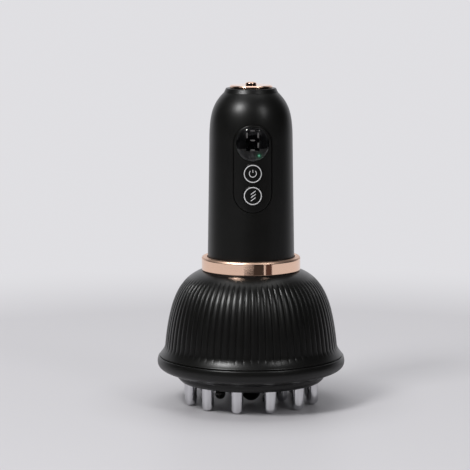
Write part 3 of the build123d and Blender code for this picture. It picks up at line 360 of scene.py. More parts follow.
def lamp_green():
    """A green lamp, bright in its middle."""
    finish = Finish("led_green")
    x, y, z = finish.parts_of(finish.place)
    middle = 1 - finish.step(from_lamp(finish, x, z), 0.15 * mm, 0.85 * mm)
    finish.put("Base Color", finish.mix(middle, (0.0, 0.05, 0.02), (0.05, 0.35, 0.18)))
    finish.put("Roughness", 0.2 + middle * 0.1)
    finish.put("Emission Color", finish.mix(middle, (0.002, 0.10, 0.05), (0.35, 1.0, 0.65)))
    finish.put("Emission Strength", 0.9)
    return finish.material


finishes["led_green"] = lamp_green()
sign_white = glowing("sign_white", (0.62, 0.62, 0.62), 0.06)
digit_white = glowing("digit_white", (0.62, 0.60, 0.58), 0.36, 0.3)
digit_unlit = moulded("digit_unlit", (0.02, 0.02, 0.02), 0.4).material
print("finishes:", len(finishes))

# %% [markdown]
# Each part of the frame takes the finish that its record names. The pieces modelled below stand
# for some of these parts, and name them as they are made. The display's surround gets a finish of
# its own: through the window its lower field looks grey, and round the lamp it has a painted green
# glow that stands for the lamp's spilled light.

# %% Finishes on the frame's parts
def mask():
    """The display's surround: black, with a grey lower field and a painted green glow round the lamp."""
    finish = Finish("display_mask")
    x, y, z = finish.parts_of(finish.place)
    field_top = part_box("display_module")[0].z + 1.0 * mm
    field = 1 - finish.step(z, field_top, field_top + 0.15 * mm)
    # Painted glow: the frame's face gives off green light near the small lamp, standing for the light it
    # spills.
    painted_lamp_glow = 1 - finish.step(from_lamp(finish, x, z), 0.3 * mm, 2.4 * mm)
    finish.put("Base Color", finish.mix(field, (0.003, 0.003, 0.003), (0.17, 0.17, 0.165)))
    finish.put("Roughness", 0.35 + field * 0.25)
    finish.put("Emission Color", finish.mix(painted_lamp_glow, (0, 0, 0), (0.004, 0.09, 0.035)))
    finish.put("Emission Strength", 0.8)
    return finish.material


for name, part in nodes.items():
    part.data.materials.clear()
    part.data.materials.append(finishes[slots[name]])
nodes["display_frame"].data.materials[0] = mask()
print("finished parts:", len(nodes))

# %% [markdown]
# ## Turned shapes
#
# Most of this massager is round about one axis. Blender's Screw modifier can turn an outline, but
# building the rings in code lets us choose the angles, which the reeds need. `rounded` softens the
# corners of an outline, since no real edge is perfectly sharp and a small round is what catches
# the light. `lathe` makes one ring of points for each point of the outline and joins the rings.


# %% Outlines and rings
def curve(start, pull_start, pull_end, end, steps=16):
    """Points along a cubic curve, with both ends."""
    points = []
    for index in range(steps + 1):
        t = index / steps
        weights = ((1 - t) ** 3, 3 * t * (1 - t) ** 2, 3 * t * t * (1 - t), t ** 3)
        corners = (start, pull_start, pull_end, end)
        points.append(tuple(sum(w * c[axis] for w, c in zip(weights, corners)) for axis in (0, 1)))
    return points


def rounded(outline, steps=4):
    """A closed outline whose corners with a third value are rounded back by that much."""
    softened = []
    count = len(outline)
    for index, corner in enumerate(outline):
        if len(corner) == 2:
            softened.append(corner)
            continue
        here = Vector(corner[:2])
        before, after = (Vector(outline[(index + side) % count][:2]) for side in (-1, 1))
        start = here + (before - here).normalized() * corner[2]
        end = here + (after - here).normalized() * corner[2]
        for step in range(steps + 1):
            t = step / steps
            softened.append(tuple((1 - t) ** 2 * start + 2 * t * (1 - t) * here + t * t * end))
    return softened


def join(mesh, first, second):
    """Faces between two rings of equal length, or between a ring and a pole."""
    count = max(len(first), len(second))
    for index in range(count):
        after = (index + 1) % count
        ends = [first[index % len(first)], first[after % len(first)]]
        ends += [second[after % len(second)], second[index % len(second)]]
        corners = list(dict.fromkeys(ends))
        if len(corners) > 2:
            mesh.faces.new(corners)


def rings_of(mesh, outline, angles):
    """A ring of points for each (radius, height). A radius of nothing gives a pole."""
    rings = []
    for radius, height in outline:
        if radius < 1e-9:
            rings.append([mesh.verts.new((0, 0, height))])
        else:
            rings.append([mesh.verts.new((radius * sin(a), -radius * cos(a), height)) for a in angles])
    return rings


def piece_of(mesh, name, crease=35):
    """An object from a finished mesh, smooth but for its sharp edges, facing outwards."""
    bmesh.ops.remove_doubles(mesh, verts=mesh.verts, dist=1e-6)
    bmesh.ops.recalc_face_normals(mesh, faces=mesh.faces)
    for face in mesh.faces:
        face.smooth = True
    for edge in mesh.edges:
        edge.smooth = edge.calc_face_angle(0) < radians(crease)
    data = bpy.data.meshes.new(name)
    mesh.to_mesh(data)
    mesh.free()
    return placed(name, data)


def even_angles(count):
    return [tau * index / count for index in range(count)]


def lathe(name, outline, turns=192):
    """A closed turned solid from a closed outline."""
    mesh = bmesh.new()
    rings = rings_of(mesh, outline, even_angles(turns))
    for ring, after in zip(rings, rings[1:] + rings[:1]):
        join(mesh, ring, after)
    return piece_of(mesh, name)


def wear(piece, slot, body, *replaced, finish=None):
    """Gives a piece its finish and its body, and hides the parts of the frame that it stands for."""
    piece.data.materials.clear()
    piece.data.materials.append(finish or finishes[slot])
    if replaced:
        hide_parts(*replaced)
    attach(piece, body)
    print(f"{piece.name}: {len(piece.data.polygons)} faces")
    return piece


def reach_of(node):
    """A round part's radius, lowest height and highest height."""
    low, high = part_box(node)
    return (high.x - low.x) / 2, low.z, high.z


print("turning helpers ready")

# %% [markdown]
# Three shapes below follow a rule, and Geometry Nodes can hold a rule. All three groups begin and
# end alike: they take a shape, some numbers and a finish, and give back a real mesh that wears the
# finish. `grown` runs a group on a piece and keeps the outcome as a plain mesh. Leaving it as a
# modifier would work in the picture, but a plain mesh can be measured and exported as it is.


# %% Geometry groups
def group_with(name, inputs):
    """A tree for a new group, and its inputs: a shape, these ones by name and kind, and a finish."""
    group = bpy.data.node_groups.new(name, "GeometryNodeTree")
    for label, kind in {"Geometry": "Geometry", **inputs, "Material": "Material"}.items():
        group.interface.new_socket(label, in_out="INPUT", socket_type="NodeSocket" + kind)
    group.interface.new_socket("Geometry", in_out="OUTPUT", socket_type="NodeSocketGeometry")
    tree = Tree(group)
    sockets = group.nodes.new("NodeGroupInput").outputs
    return tree, [Value(tree, socket) for socket in sockets][:-1]


def give_back(tree, shape, finish):
    """Ends a group: copies are made real and get the finish."""
    real = tree.add("GeometryNodeRealizeInstances", None, {0: shape})
    painted = tree.add("GeometryNodeSetMaterial", None, {"Geometry": real, "Material": finish})
    tree.add("NodeGroupOutput", None, {0: painted})
    return tree.tree


def grown(piece, group, **inputs):
    """Runs a Geometry Nodes tree on a piece and keeps the result as its plain mesh."""
    modifier = piece.modifiers.new(group.name, "NODES")
    modifier.node_group = group
    for item in group.interface.items_tree:
        if item.in_out == "INPUT" and item.name in inputs:
            modifier[item.identifier] = inputs[item.name]
    graph = bpy.context.evaluated_depsgraph_get()
    result = bpy.data.meshes.new_from_object(piece.evaluated_get(graph))
    piece.modifiers.clear()
    piece.data = result
    result.name = piece.name
    return piece


print("group helpers ready")

# %% [markdown]
# ## Dome
#
# The dome is the broadest shape and the one that the eye goes to: 72 upright reeds run down its
# flank and fade out above the flare. They could be modelled one by one, but they follow a rule,
# so a plain dome is turned first, with its angles bunched at the grooves, and Geometry Nodes then
# press the surface in by how far each point lies from the middle of its reed.

# %% Dome outline
flare_radius, dome_foot, dome_top = reach_of("dome_shell")
reed_count = 72
throat = 15.0 * mm
dome_wall = 2.2 * mm
dome_edge = reach_of("collar_ring")[0] + 0.1 * mm
waist = (flare_radius - 3.15 * mm, dome_foot + 5.25 * mm)
top = (dome_edge, dome_top)
shoulder_pull = (top[0] + 11.94 * mm, top[1] - 4.11 * mm)
waist_pull = (waist[0] - 2.27 * mm, waist[1] + 24.41 * mm)
flank = curve(top, shoulder_pull, waist_pull, waist, 40)
flare_end = (flare_radius, dome_foot)
flare_start_pull = (waist[0] + 0.25 * mm, waist[1] - 1.3 * mm)
flare_end_pull = (flare_end[0] - 1.9 * mm, flare_end[1] + 1.9 * mm)
flare = curve(waist, flare_start_pull, flare_end_pull, flare_end, 10)
tongue_side = 43.9 * mm
inner_top = (top[0], dome_top - dome_wall)
lining_foot_pull = (waist[0] - 2.27 * mm - dome_wall, waist[1] + 23.3 * mm)
lining_top_pull = (top[0] + 10.84 * mm, top[1] - 6.31 * mm)
lining = curve((tongue_side, waist[1]), lining_foot_pull, lining_top_pull, inner_top, 16)
dome_outline = rounded([
    (throat, dome_top), *flank[:-1], *flare[:-1], (*flare_end, 0.8 * mm), (tongue_side, dome_foot),
    *lining, (throat, inner_top[1]),
])
print("dome outline:", len(dome_outline), "points")

# %% [markdown]
# The reeds are moulded into the shell on the real one. A bump texture could fake them in the
# middle, but not along the dome's edge, where they break the outline, so the surface itself moves.
# Each reed is a low crown with a narrow groove beside it, and a share stored on every point lets
# both fade out towards the collar and the flare.


# %% Dome, turned and reeded
def reed_tree():
    """Presses the surface in between the reeds, as far as each point's own share says."""
    inputs = {"Reeds": "Int", "Crown": "Float", "Groove": "Float"}
    tree, (shape, reeds, crown, groove, finish) = group_with("reeds", inputs)
    x, y, z = tree.parts_of(tree.add("GeometryNodeInputPosition"))
    across = tree.math("FRACT", tree.math("ARCTAN2", x, 0 - y) * reeds / tau + 100.5) * 2 - 1
    side = tree.math("ABSOLUTE", across)
    depth = crown * side * side + groove * tree.step(side, 0.72, 0.97)
    share = tree.add("GeometryNodeInputNamedAttribute", {"data_type": "FLOAT"}, {"Name": "reeded"})
    press = tree.add("ShaderNodeVectorMath", {"operation": "SCALE"}, {
        0: tree.add("GeometryNodeInputNormal"), "Scale": 0 - depth * share,
    })
    pressed = tree.add("GeometryNodeSetPosition", None, {"Geometry": shape, "Offset": press})
    return give_back(tree, pressed, finish)


reed_marks = (-1.0, -0.95, -0.86, -0.76, -0.58, -0.32, 0.0, 0.32, 0.58, 0.76, 0.86, 0.95)
reed_angles = [(2 * reed + mark) * pi / reed_count for reed in range(reed_count) for mark in reed_marks]
mesh = bmesh.new()
share = mesh.verts.layers.float.new("reeded")
rings = rings_of(mesh, dome_outline, reed_angles)
reed_top, reed_full_top = dome_top - 2.2 * mm, dome_top - 8.0 * mm
reed_foot, reed_full_foot = dome_foot + 2.0 * mm, dome_foot + 9.5 * mm
for index, ((radius, height), ring) in enumerate(zip(dome_outline, rings)):
    outer = index < 2 + len(flank) + len(flare)
    fade_top = min(1, max(0, (reed_top - height) / (reed_top - reed_full_top)))
    fade_foot = min(1, max(0, (height - reed_foot) / (reed_full_foot - reed_foot)))
    for point in ring:
        point[share] = outer * sin(fade_top * pi / 2) ** 2 * sin(fade_foot * pi / 2) ** 2
for ring, after in zip(rings, rings[1:] + rings[:1]):
    join(mesh, ring, after)
dome = piece_of(mesh, "dome", crease=50)
reed_crown, reed_groove = 0.32 * mm, 0.28 * mm
dome_black = finishes["satin_black"]
grown(dome, reed_tree(), Reeds=reed_count, Crown=reed_crown, Groove=reed_groove, Material=dome_black)
wear(dome, "satin_black", "root", "dome_shell")

# %% [markdown]
# ## Lower shell
#
# Under the seam a second moulding curves in to the mouth round the plate. A thin gap between the
# two shells is left open, as on the real seam, and both edges are rounded: that is the bright
# line along it. Its tongue goes up into the dome and holds the two together.

# %% Lower shell
rim_radius, rim_foot, tongue_top = reach_of("base_rim")
plate_radius, plate_foot, plate_top = reach_of("pin_plate")
flare_step, seam_gap = 0.35 * mm, 0.3 * mm
mouth_gap, mouth_lip = 0.9 * mm, 1.8 * mm
shelf_thick, shelf_reach = 2 * mm, 1.5 * mm
seam_radius, seam = flare_radius + flare_step, dome_foot - seam_gap
mouth = (plate_radius + mouth_gap, plate_top - mouth_lip)
seam_pull = (seam_radius + 2.9 * mm, seam - 8.7 * mm)
mouth_pull = (mouth[0] + 2.7 * mm, mouth[1] + 2.7 * mm)
swell = curve((seam_radius, seam), seam_pull, mouth_pull, mouth, 24)
shelf, shelf_edge = plate_top + shelf_thick, plate_radius - shelf_reach
tongue_outer, tongue_inner = 43.7 * mm, 42.4 * mm
pocket_inner, pocket_outer, pocket_foot = 45.2 * mm, 47.5 * mm, seam - 4.6 * mm
rim_outline = rounded([
    (tongue_outer, seam), (pocket_inner, seam), (pocket_inner, pocket_foot), (pocket_outer, pocket_foot),
    (pocket_outer, seam), (seam_radius, seam, 0.6 * mm), *swell[2:-1], (*mouth, 0.3 * mm),
    (mouth[0], plate_top), (shelf_edge, plate_top), (shelf_edge, shelf),
    (tongue_inner, shelf), (tongue_inner, tongue_top), (tongue_outer, tongue_top, 0.3 * mm),
])
wear(lathe("lower_shell", rim_outline), "satin_black", "root", "base_rim")

# %% [markdown]
# ## Plate, pins and beads
#
# The plate closes the head from below. Twelve blunt pins stand in a ring near its edge, with
# three more and three stone beads further in, round a nozzle in the middle. One pin is turned,
# and Geometry Nodes put copies of it on the points of a circle.

# %% Plate
plate_bevel, plate_wall, plate_thick = 2 * mm, 1.6 * mm, 3 * mm
floor = plate_foot + plate_thick
plate_outline = rounded([
    (0, plate_foot), (plate_radius - plate_bevel, plate_foot, 0.8 * mm),
    (plate_radius, plate_foot + plate_bevel, 0.8 * mm), (plate_radius, plate_top, 0.2 * mm),
    (plate_radius - plate_wall, plate_top, 0.2 * mm), (plate_radius - plate_wall, floor), (0, floor),
])
wear(lathe("plate", plate_outline), "satin_black", "root", "pin_plate")

# %% [markdown]
# Pins that are all alike come from one turned shape. An array with an object offset could repeat
# it, but a ring of points says plainly how many there are and where the first one stands, and the
# same tree then serves the outer pins, the inner pins and the beads.


# %% Ring of copies
def ring_tree():
    """Copies of one shape on the points of a circle."""
    inputs = {"Count": "Int", "Ring": "Float", "Start": "Float"}
    tree, (shape, count, ring, start, finish) = group_with("ring_of_copies", inputs)
    circle = tree.add("GeometryNodeMeshCircle", None, {"Vertices": count, "Radius": ring})
    turn = tree.add("ShaderNodeCombineXYZ", None, {2: start})
    turned = tree.add("GeometryNodeTransform", None, {"Geometry": circle, "Rotation": turn})
    copies = tree.add("GeometryNodeInstanceOnPoints", None, {"Points": turned, "Instance": shape})
    return give_back(tree, copies, finish)


copies_in_ring = ring_tree()


def ringed(name, outline, node, slot, count, ring, start, turns=48):
    """A ring of turned pieces that stands for a node."""
    piece = lathe(name, outline, turns)
    grown(piece, copies_in_ring, Count=count, Ring=ring, Start=radians(start), Material=finishes[slot])
    return wear(piece, slot, "root", node)


print("ring of copies ready")

# %% [markdown]
# A pin is polished metal with a blunt round tip that ends in a small flat, on which it stands.
# Its head sits on the plate's floor and a stud goes up to the contact board. A ball on a stick
# would look the same from here, but head and stud are what hold it, so the whole pin is turned.


# %% Pins
def pin_outline(radius, head):
    """A blunt pin with a small flat on its tip, a head above the plate's floor and a stud."""
    flat = 0.8 * mm
    slope = asin(flat / radius)
    centre = radius * cos(slope)
    angles = [slope + (pi / 2 - slope) * step / 12 for step in range(13)]
    tip = [(radius * sin(a), centre - radius * cos(a)) for a in angles]
    return rounded([
        (0, 0), *tip, (radius, floor), (head, floor), (head, head_top, 0.2 * mm),
        (stud_radius, head_top), (stud_radius, stud_top, 0.2 * mm), (0, stud_top),
    ])


stud_radius, head_top, stud_top = 1.2 * mm, floor + 1.2 * mm, floor + 2.4 * mm
pin_margin = 5.9 * mm
pin_ring = plate_radius - pin_margin
inner_ring = 16.5 * mm
ringed("ring_of_pins", pin_outline(3.2 * mm, 4.2 * mm), "outer_pins", "pin_metal", 12, pin_ring, 15)
ringed("inner_ring_of_pins", pin_outline(3.0 * mm, 4.0 * mm), "inner_pins", "pin_metal", 3, inner_ring, 0)

# %% [markdown]
# The beads are polished stone balls on short stalks, and the nozzle is a gloss black dome with the
# oil's bore through it. Both begin as part of a circle in section, so one function draws the arc
# from the lowest point up. Blender's own sphere would leave no stalk and no bore.

# %% Beads and nozzle
bead_foot, bead_radius, bead_stalk = reach_of("stone_beads")[1], 2.9 * mm, 1.9 * mm
nozzle_foot, nozzle_radius = reach_of("nozzle")[1], 5.1 * mm


def ball_outline(foot, radius, stalk):
    """A ball from its lowest point up to where its stalk begins."""
    end = pi - asin(stalk / radius) if stalk < radius else pi / 2
    angles = [end * step / 20 for step in range(21)]
    return [(radius * sin(a), foot + radius * (1 - cos(a))) for a in angles]


bead = rounded([
    *ball_outline(bead_foot, bead_radius, bead_stalk), (bead_stalk, floor), (bead_radius, floor),
    (bead_radius, stud_top, 0.2 * mm), (0, stud_top),
])
ringed("beads", bead, "stone_beads", "dark_stone", 3, inner_ring, 60)
bore, socket_top = 0.6 * mm, floor + 7 * mm
nozzle_flange, nozzle_neck, tube_seat = 6.1 * mm, 3.4 * mm, 1.65 * mm
tip = [(r, z) for r, z in ball_outline(nozzle_foot, nozzle_radius, nozzle_radius) if r > bore]
nozzle_outline = rounded([
    (bore, nozzle_foot + 0.1 * mm), *tip, (nozzle_radius, floor), (nozzle_flange, floor),
    (nozzle_flange, head_top), (nozzle_neck, head_top), (nozzle_neck, socket_top, 0.2 * mm),
    (tube_seat, socket_top), (tube_seat, head_top), (bore, head_top),
])
wear(lathe("nozzle_dome", nozzle_outline, 64), "gloss_black", "root", "nozzle")

# %% [markdown]
# ## Collar
#
# A plated ring covers the joint between dome and handle. It mirrors the room, so its outline
# matters more than its colour: a straight band with a duller bevel along its top, which shows as a
# bright line, and a smaller one along its foot. Points on the band close to each bevel keep the
# smooth shading of the corners from running down the band.

# %% Collar
collar_radius, collar_foot, collar_top = reach_of("collar_ring")
handle_foot_radius = reach_of("handle_shell")[0]
collar_gap = 0.25 * mm
collar_inner, bevel_foot = handle_foot_radius + collar_gap, collar_top - 0.95 * mm
collar_outline = rounded([
    (collar_inner, collar_foot), (collar_radius - 0.4 * mm, collar_foot, 0.15 * mm),
    (collar_radius, collar_foot + 0.45 * mm, 0.2 * mm), (collar_radius, collar_foot + 0.8 * mm),
    (collar_radius, collar_top - 1.25 * mm), (collar_radius, bevel_foot, 0.12 * mm),
    (collar_radius - 0.45 * mm, collar_top - 0.1 * mm, 0.1 * mm), (collar_inner, collar_top, 0.15 * mm),
])
collar_gold = plated("collar_gold", (0.90, 0.62, 0.47), 0.07, matt_above=bevel_foot)
wear(lathe("collar", collar_outline, 256), "rose_gold", "root", "collar_ring", finish=collar_gold)

# %% [markdown]
# ## Handle
#
# The sleeve is a bullet: almost straight, then one long curve that ends in a small lip. It is
# turned like the dome. The pocket for the panel follows the same curve a little further in, so
# the cutter for it is made by the function that makes the panel: a rounded plate, as wide and
# high as asked, whose every point lies a given depth below the sleeve's skin.

# %% Skin of the handle
_, handle_foot, handle_top = reach_of("handle_shell")
panel_low, panel_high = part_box("control_panel")
handle_wall = 2 * mm
shoulder = (handle_foot_radius - 1.05 * mm, handle_top - 28.5 * mm)
lip = (shoulder[0] - 7.8 * mm, handle_top - 2.3 * mm)
brow = (lip[0] - 1.1 * mm, handle_top)
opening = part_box("filler_cap")[1].x - 1.1 * mm


def bullet(inset):
    """The sleeve's outline from foot to lip, that far inside its skin."""
    foot = (handle_foot_radius - inset, handle_foot)
    knee, end = (shoulder[0] - inset, shoulder[1]), (lip[0] - inset, lip[1])
    side = curve(foot, foot, knee, knee, 24)
    knee_pull = (knee[0], knee[1] + 14.94 * mm)
    end_pull = (end[0] + 5.96 * mm, end[1] - 5.89 * mm)
    crown = curve(knee, knee_pull, end_pull, end, 28)
    return side + crown[1:]


skin = bullet(0)


def skin_radius(height):
    """How far the sleeve's skin lies from the axis at a height."""
    for (r1, z1), (r2, z2) in zip(skin, skin[1:]):
        if z1 <= height <= z2:
            return r1 + (r2 - r1) * (height - z1) / (z2 - z1)
    return skin[0][0] if height < skin[0][1] else skin[-1][0]


def skin_y(x, height, inset=0.0):
    """Y of the skin's front, or of a layer that far under it."""
    return -sqrt(max((skin_radius(height) - inset) ** 2 - x * x, 0))


def inlay(name, foot, head, section, steps=48):
    """A closed rounded plate let into the handle. Foot and head are the middles of its two ends.
    Section gives (reach from the middle line, depth under the skin), from its back to its front."""
    mesh = bmesh.new()
    rows = max(1, round((head - foot) / (1.5 * mm)))
    rings = []
    turns = [pi * i / steps for i in range(steps + 1)]
    for reach, depth in section:
        places = [(reach * cos(a), head + reach * sin(a)) for a in turns]
        places += [(-reach, head + (foot - head) * i / rows) for i in range(1, rows)]
        places += [(-reach * cos(a), foot - reach * sin(a)) for a in turns]
        places += [(reach, foot + (head - foot) * i / rows) for i in range(1, rows)]
        rings.append([mesh.verts.new((x, skin_y(x, z, depth), z)) for x, z in places])
    for ring, after in zip(rings, rings[1:]):
        join(mesh, ring, after)
    return piece_of(mesh, name)


def spread(reach, depth, steps):
    """Even rings from a reach in to the middle, at one depth."""
    return [(reach * (1 - step / steps), depth) for step in range(1, steps + 1)]


def plate_section(reach, front, back, edge, steps=10):
    """A plate's section from its back to its front, with a rounded front edge."""
    angles = [pi / 8 * step for step in range(5)]
    corner = [(reach - edge * (1 - cos(a)), front + edge * (1 - sin(a))) for a in angles]
    return spread(reach, back, steps)[::-1] + [(reach, back)] + corner + spread(reach - edge, front, steps)


def rod(radius, start, end, turns=96):
    """A round cutter between two points."""
    start, end = Vector(start), Vector(end)
    turn = (end - start).to_track_quat("Z", "Y").to_matrix().to_4x4()
    turn.translation = (start + end) / 2
    mesh, length = bmesh.new(), (end - start).length
    bmesh.ops.create_cone(
        mesh, cap_ends=True, segments=turns, radius1=radius, radius2=radius, depth=length, matrix=turn
    )
    return piece_of(mesh, "cutter")


def carve(piece, *cutters):
    """Takes the cutters away from a piece and keeps the result as its plain mesh."""
    for cutter in cutters:
        modifier = piece.modifiers.new("carve", "BOOLEAN")
        modifier.operation, modifier.solver, modifier.object = "DIFFERENCE", "EXACT", cutter
    graph = bpy.context.evaluated_depsgraph_get()
    result = bpy.data.meshes.new_from_object(piece.evaluated_get(graph))
    mesh = bmesh.new()
    mesh.from_mesh(result)
    name = piece.name
    for spent in (piece, *cutters):
        bpy.data.objects.remove(spent)
    return piece_of(mesh, name, crease=30)


print("handle helpers ready")

# %% [markdown]
# The sleeve is one soft-touch moulding with a real wall, open at the foot and at the lip. Panel,
# window, charging socket and the two screws under the collar need openings. Leaving faces out of
# the rings would give ragged edges, so exact booleans cut them from the turned shape.

# %% Sleeve
sleeve_outline = rounded([
    (opening, handle_top, 0.2 * mm), (*brow, 0.35 * mm), (*skin[-1], 0.3 * mm), *skin[-2:0:-1],
    (*skin[0], 0.3 * mm), (handle_foot_radius - handle_wall, handle_foot, 0.2 * mm),
    *bullet(handle_wall)[1:],
    (brow[0] - handle_wall, handle_top - handle_wall), (opening, handle_top - handle_wall, 0.2 * mm),
])
panel_reach = panel_high.x
panel_foot, panel_head = panel_low.z + panel_reach, panel_high.z - panel_reach
port_low, port_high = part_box("usb_port")
port_z, port_reach = (port_low.z + port_high.z) / 2, (port_high.z - port_low.z) / 2 + 0.2 * mm
port_side = (port_high.x - port_low.x) / 2 + 0.2 * mm - port_reach
pocket_reach, pocket_depth = panel_reach + 0.2 * mm, 1.15 * mm
pocket = inlay("pocket", panel_foot, panel_head, [
    (0, pocket_depth), (pocket_reach, pocket_depth), (pocket_reach, -1 * mm), (0, -1 * mm),
])
cut_reach, cut_depth = panel_reach - 1 * mm, 5 * mm
window_cut = inlay("window_cut", panel_foot, panel_head, [
    (0, cut_depth), (cut_reach, cut_depth), (cut_reach, -1.5 * mm), (0, -1.5 * mm),
])
port_cut = bmesh.new()
half_turn = [-pi / 2 + pi * i / 24 for i in range(25)]
right = [(port_side + port_reach * cos(a), port_z + port_reach * sin(a)) for a in half_turn]
corners = right + [(-x, z) for x, z in right[::-1]]
near, far = ([port_cut.verts.new((x, y, z)) for x, z in corners] for y in (16 * mm, 30 * mm))
join(port_cut, near, far)
port_cut.faces.new(near)
port_cut.faces.new(far[::-1])
screw_z = (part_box("sleeve_screws")[0].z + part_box("sleeve_screws")[1].z) / 2
head_hole, head_seat, shank_hole, past_wall = 2.05 * mm, 21.6 * mm, 1.1 * mm, 30 * mm
screw_cuts = [
    rod(hole, (side * start, 0, screw_z), (side * past_wall, 0, screw_z), 48)
    for hole, start in ((head_hole, head_seat), (shank_hole, 18 * mm)) for side in (-1, 1)
]
cutters = [pocket, window_cut, piece_of(port_cut, "port_cut"), *screw_cuts]
sleeve = carve(lathe("sleeve", sleeve_outline), *cutters)
wear(sleeve, "soft_black", "root", "handle_shell")

# %% [markdown]
# ## Panel, window and keys
#
# The panel is a long oval let into the handle, of the same black. Its rim slopes in, which draws
# the fine line that follows its edge. It could be a line cut in the sleeve, but it is a piece of
# its own on the real one, with round holes for the window and the two keys.

# %% Panel
power_low, power_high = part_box("power_button")
mode_low, mode_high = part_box("mode_button")
key_reach = 5.3 * mm
lens_low, lens_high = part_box("display_lens")
lens_reach, window_z = lens_high.x, (lens_low.z + lens_high.z) / 2
power_z = (power_low.z + power_high.z) / 2
mode_z = (mode_low.z + mode_high.z) / 2
sink, key_gap = 0.1 * mm, 0.1 * mm
panel_back = sink + 1 * mm
section = [*spread(panel_reach, panel_back, 8)[::-1], (panel_reach, panel_back)]
section += [(panel_reach, sink + 0.34 * mm)]
section += [(panel_reach - 0.05 * mm, sink + 0.28 * mm), (panel_reach - 0.42 * mm, sink + 0.02 * mm)]
section += [(panel_reach - 0.5 * mm, sink), *spread(panel_reach - 0.5 * mm, sink, 14)]
panel = inlay("panel", panel_foot, panel_head, section)
cuts = [rod(lens_reach + key_gap, (0, -past_wall, window_z), (0, 0, window_z), 128)]
cuts += [rod(key_reach + key_gap, (0, -past_wall, z), (0, 0, z), 96) for z in (power_z, mode_z)]
wear(carve(panel, *cuts), "soft_black", "root", "control_panel")

# %% [markdown]
# The window is a smoked disc as thick as a coin. Its front follows the handle's curve, and its
# edge is ground to a slope in a few steps, which is where a lamp shows as a thin arc. A flat disc
# would stand out of the curve at its sides.

# %% Window
lens_back, lens_front = 1.65 * mm, 0.15 * mm
lens_section = spread(lens_reach, lens_back, 8)[::-1] + [
    (lens_reach, lens_back), (lens_reach, lens_front + 0.42 * mm),
    (lens_reach - 0.05 * mm, lens_front + 0.36 * mm),
    (lens_reach - 0.35 * mm, lens_front + 0.16 * mm), (lens_reach - 0.62 * mm, lens_front + 0.01 * mm),
    (lens_reach - 0.7 * mm, lens_front),
] + spread(lens_reach - 0.7 * mm, lens_front, 20)
wear(inlay("window", window_z, window_z, lens_section), "smoked_lens", "root", "display_lens")

# %% [markdown]
# Each key is a cap with a flange behind the panel, which keeps it from falling out, and a post
# that presses its pad. Only the round front shows. The two are the same but for their heights, so
# one loop makes them, each on its own moving body.

# %% Keys
flange_reach, flange_front, flange_back = key_reach + 0.5 * mm, 2 * mm, 2.7 * mm
post_radius = 1.6 * mm
for name, body, height, key_back in (
    ("power_button", "power_key", power_z, power_high.y), ("mode_button", "mode_key", mode_z, mode_high.y)
):
    post = skin_radius(height) + key_back
    front = plate_section(key_reach, sink, flange_front, 0.35 * mm, 8)
    front = front[front.index((key_reach, flange_front)):]
    key_section = [
        (0, post), (post_radius, post), (post_radius, flange_back), (flange_reach, flange_back),
        (flange_reach, flange_front), *front,
    ]
    wear(inlay(name + "_cap", height, height, key_section), "soft_black", body, name)

# %% [markdown]
# ## Signs
#
# Each sign is a line of print a little proud of its key. The line is laid out flat, swept with a
# round section by Geometry Nodes, and then wrapped: every point moves to the key's skin and the
# tube is pressed to a quarter of its height. A ring, an arc and strokes all go through one tree.


# %% Printed lines
def print_tree():
    """Sweeps flat paths into tubes and wraps them on the handle's skin."""
    inputs = {"Half width": "Float", "Foot radius": "Float", "Taper": "Float"}
    tree, (shape, half_width, foot_radius, taper, finish) = group_with("printed_line", inputs)
    path = tree.add("GeometryNodeMeshToCurve", None, {"Mesh": shape})
    ring = tree.add("GeometryNodeCurvePrimitiveCircle", None, {"Resolution": 12, "Radius": half_width})
    sweep = {"Curve": path, "Profile Curve": ring, "Fill Caps": True}
    tube = tree.add("GeometryNodeCurveToMesh", None, sweep)
    x, y, z = tree.parts_of(tree.add("GeometryNodeInputPosition"))
    reach = foot_radius - taper * z
    wrapped = 0 - tree.math("SQRT", reach * reach - x * x) + y * 0.25
    place = tree.add("ShaderNodeCombineXYZ", None, {0: x, 1: wrapped, 2: z})
    laid = tree.add("GeometryNodeSetPosition", None, {"Geometry": tube, "Position": place})
    return give_back(tree, laid, finish)


printed_line = print_tree()


def printed(name, paths, half_width, body, inset=sink):
    """Lines of print on a key. A path is a list of (x, z), and closes where it ends as it began."""
    mesh = bmesh.new()
    for path in paths:
        points = [mesh.verts.new((x, 0, z)) for x, z in path]
        for point, after in zip(points, points[1:]):
            mesh.edges.new((point, after))
    bmesh.ops.remove_doubles(mesh, verts=mesh.verts, dist=1e-7)
    data = bpy.data.meshes.new(name)
    mesh.to_mesh(data)
    mesh.free()
    piece = placed(name, data)
    taper = (handle_foot_radius - shoulder[0]) / (shoulder[1] - handle_foot)
    foot_radius = handle_foot_radius + taper * handle_foot - inset
    grown(piece, printed_line, Material=sign_white, **{
        "Half width": half_width, "Foot radius": foot_radius, "Taper": taper,
    })
    whole = bmesh.new()
    whole.from_mesh(piece.data)
    bpy.data.objects.remove(piece)
    return wear(piece_of(whole, name), None, body, finish=sign_white)


def arc(z, radius, start, end, steps):
    """Points of an arc round (0, z), with angles in degrees from the right."""
    angles = [radians(start + (end - start) * step / steps) for step in range(steps + 1)]
    return [(radius * cos(a), z + radius * sin(a)) for a in angles]


def straight(start, end, steps=8):
    """Points along a straight stroke, so that it can bend with the key."""
    return [tuple(a + (b - a) * step / steps for a, b in zip(start, end)) for step in range(steps + 1)]


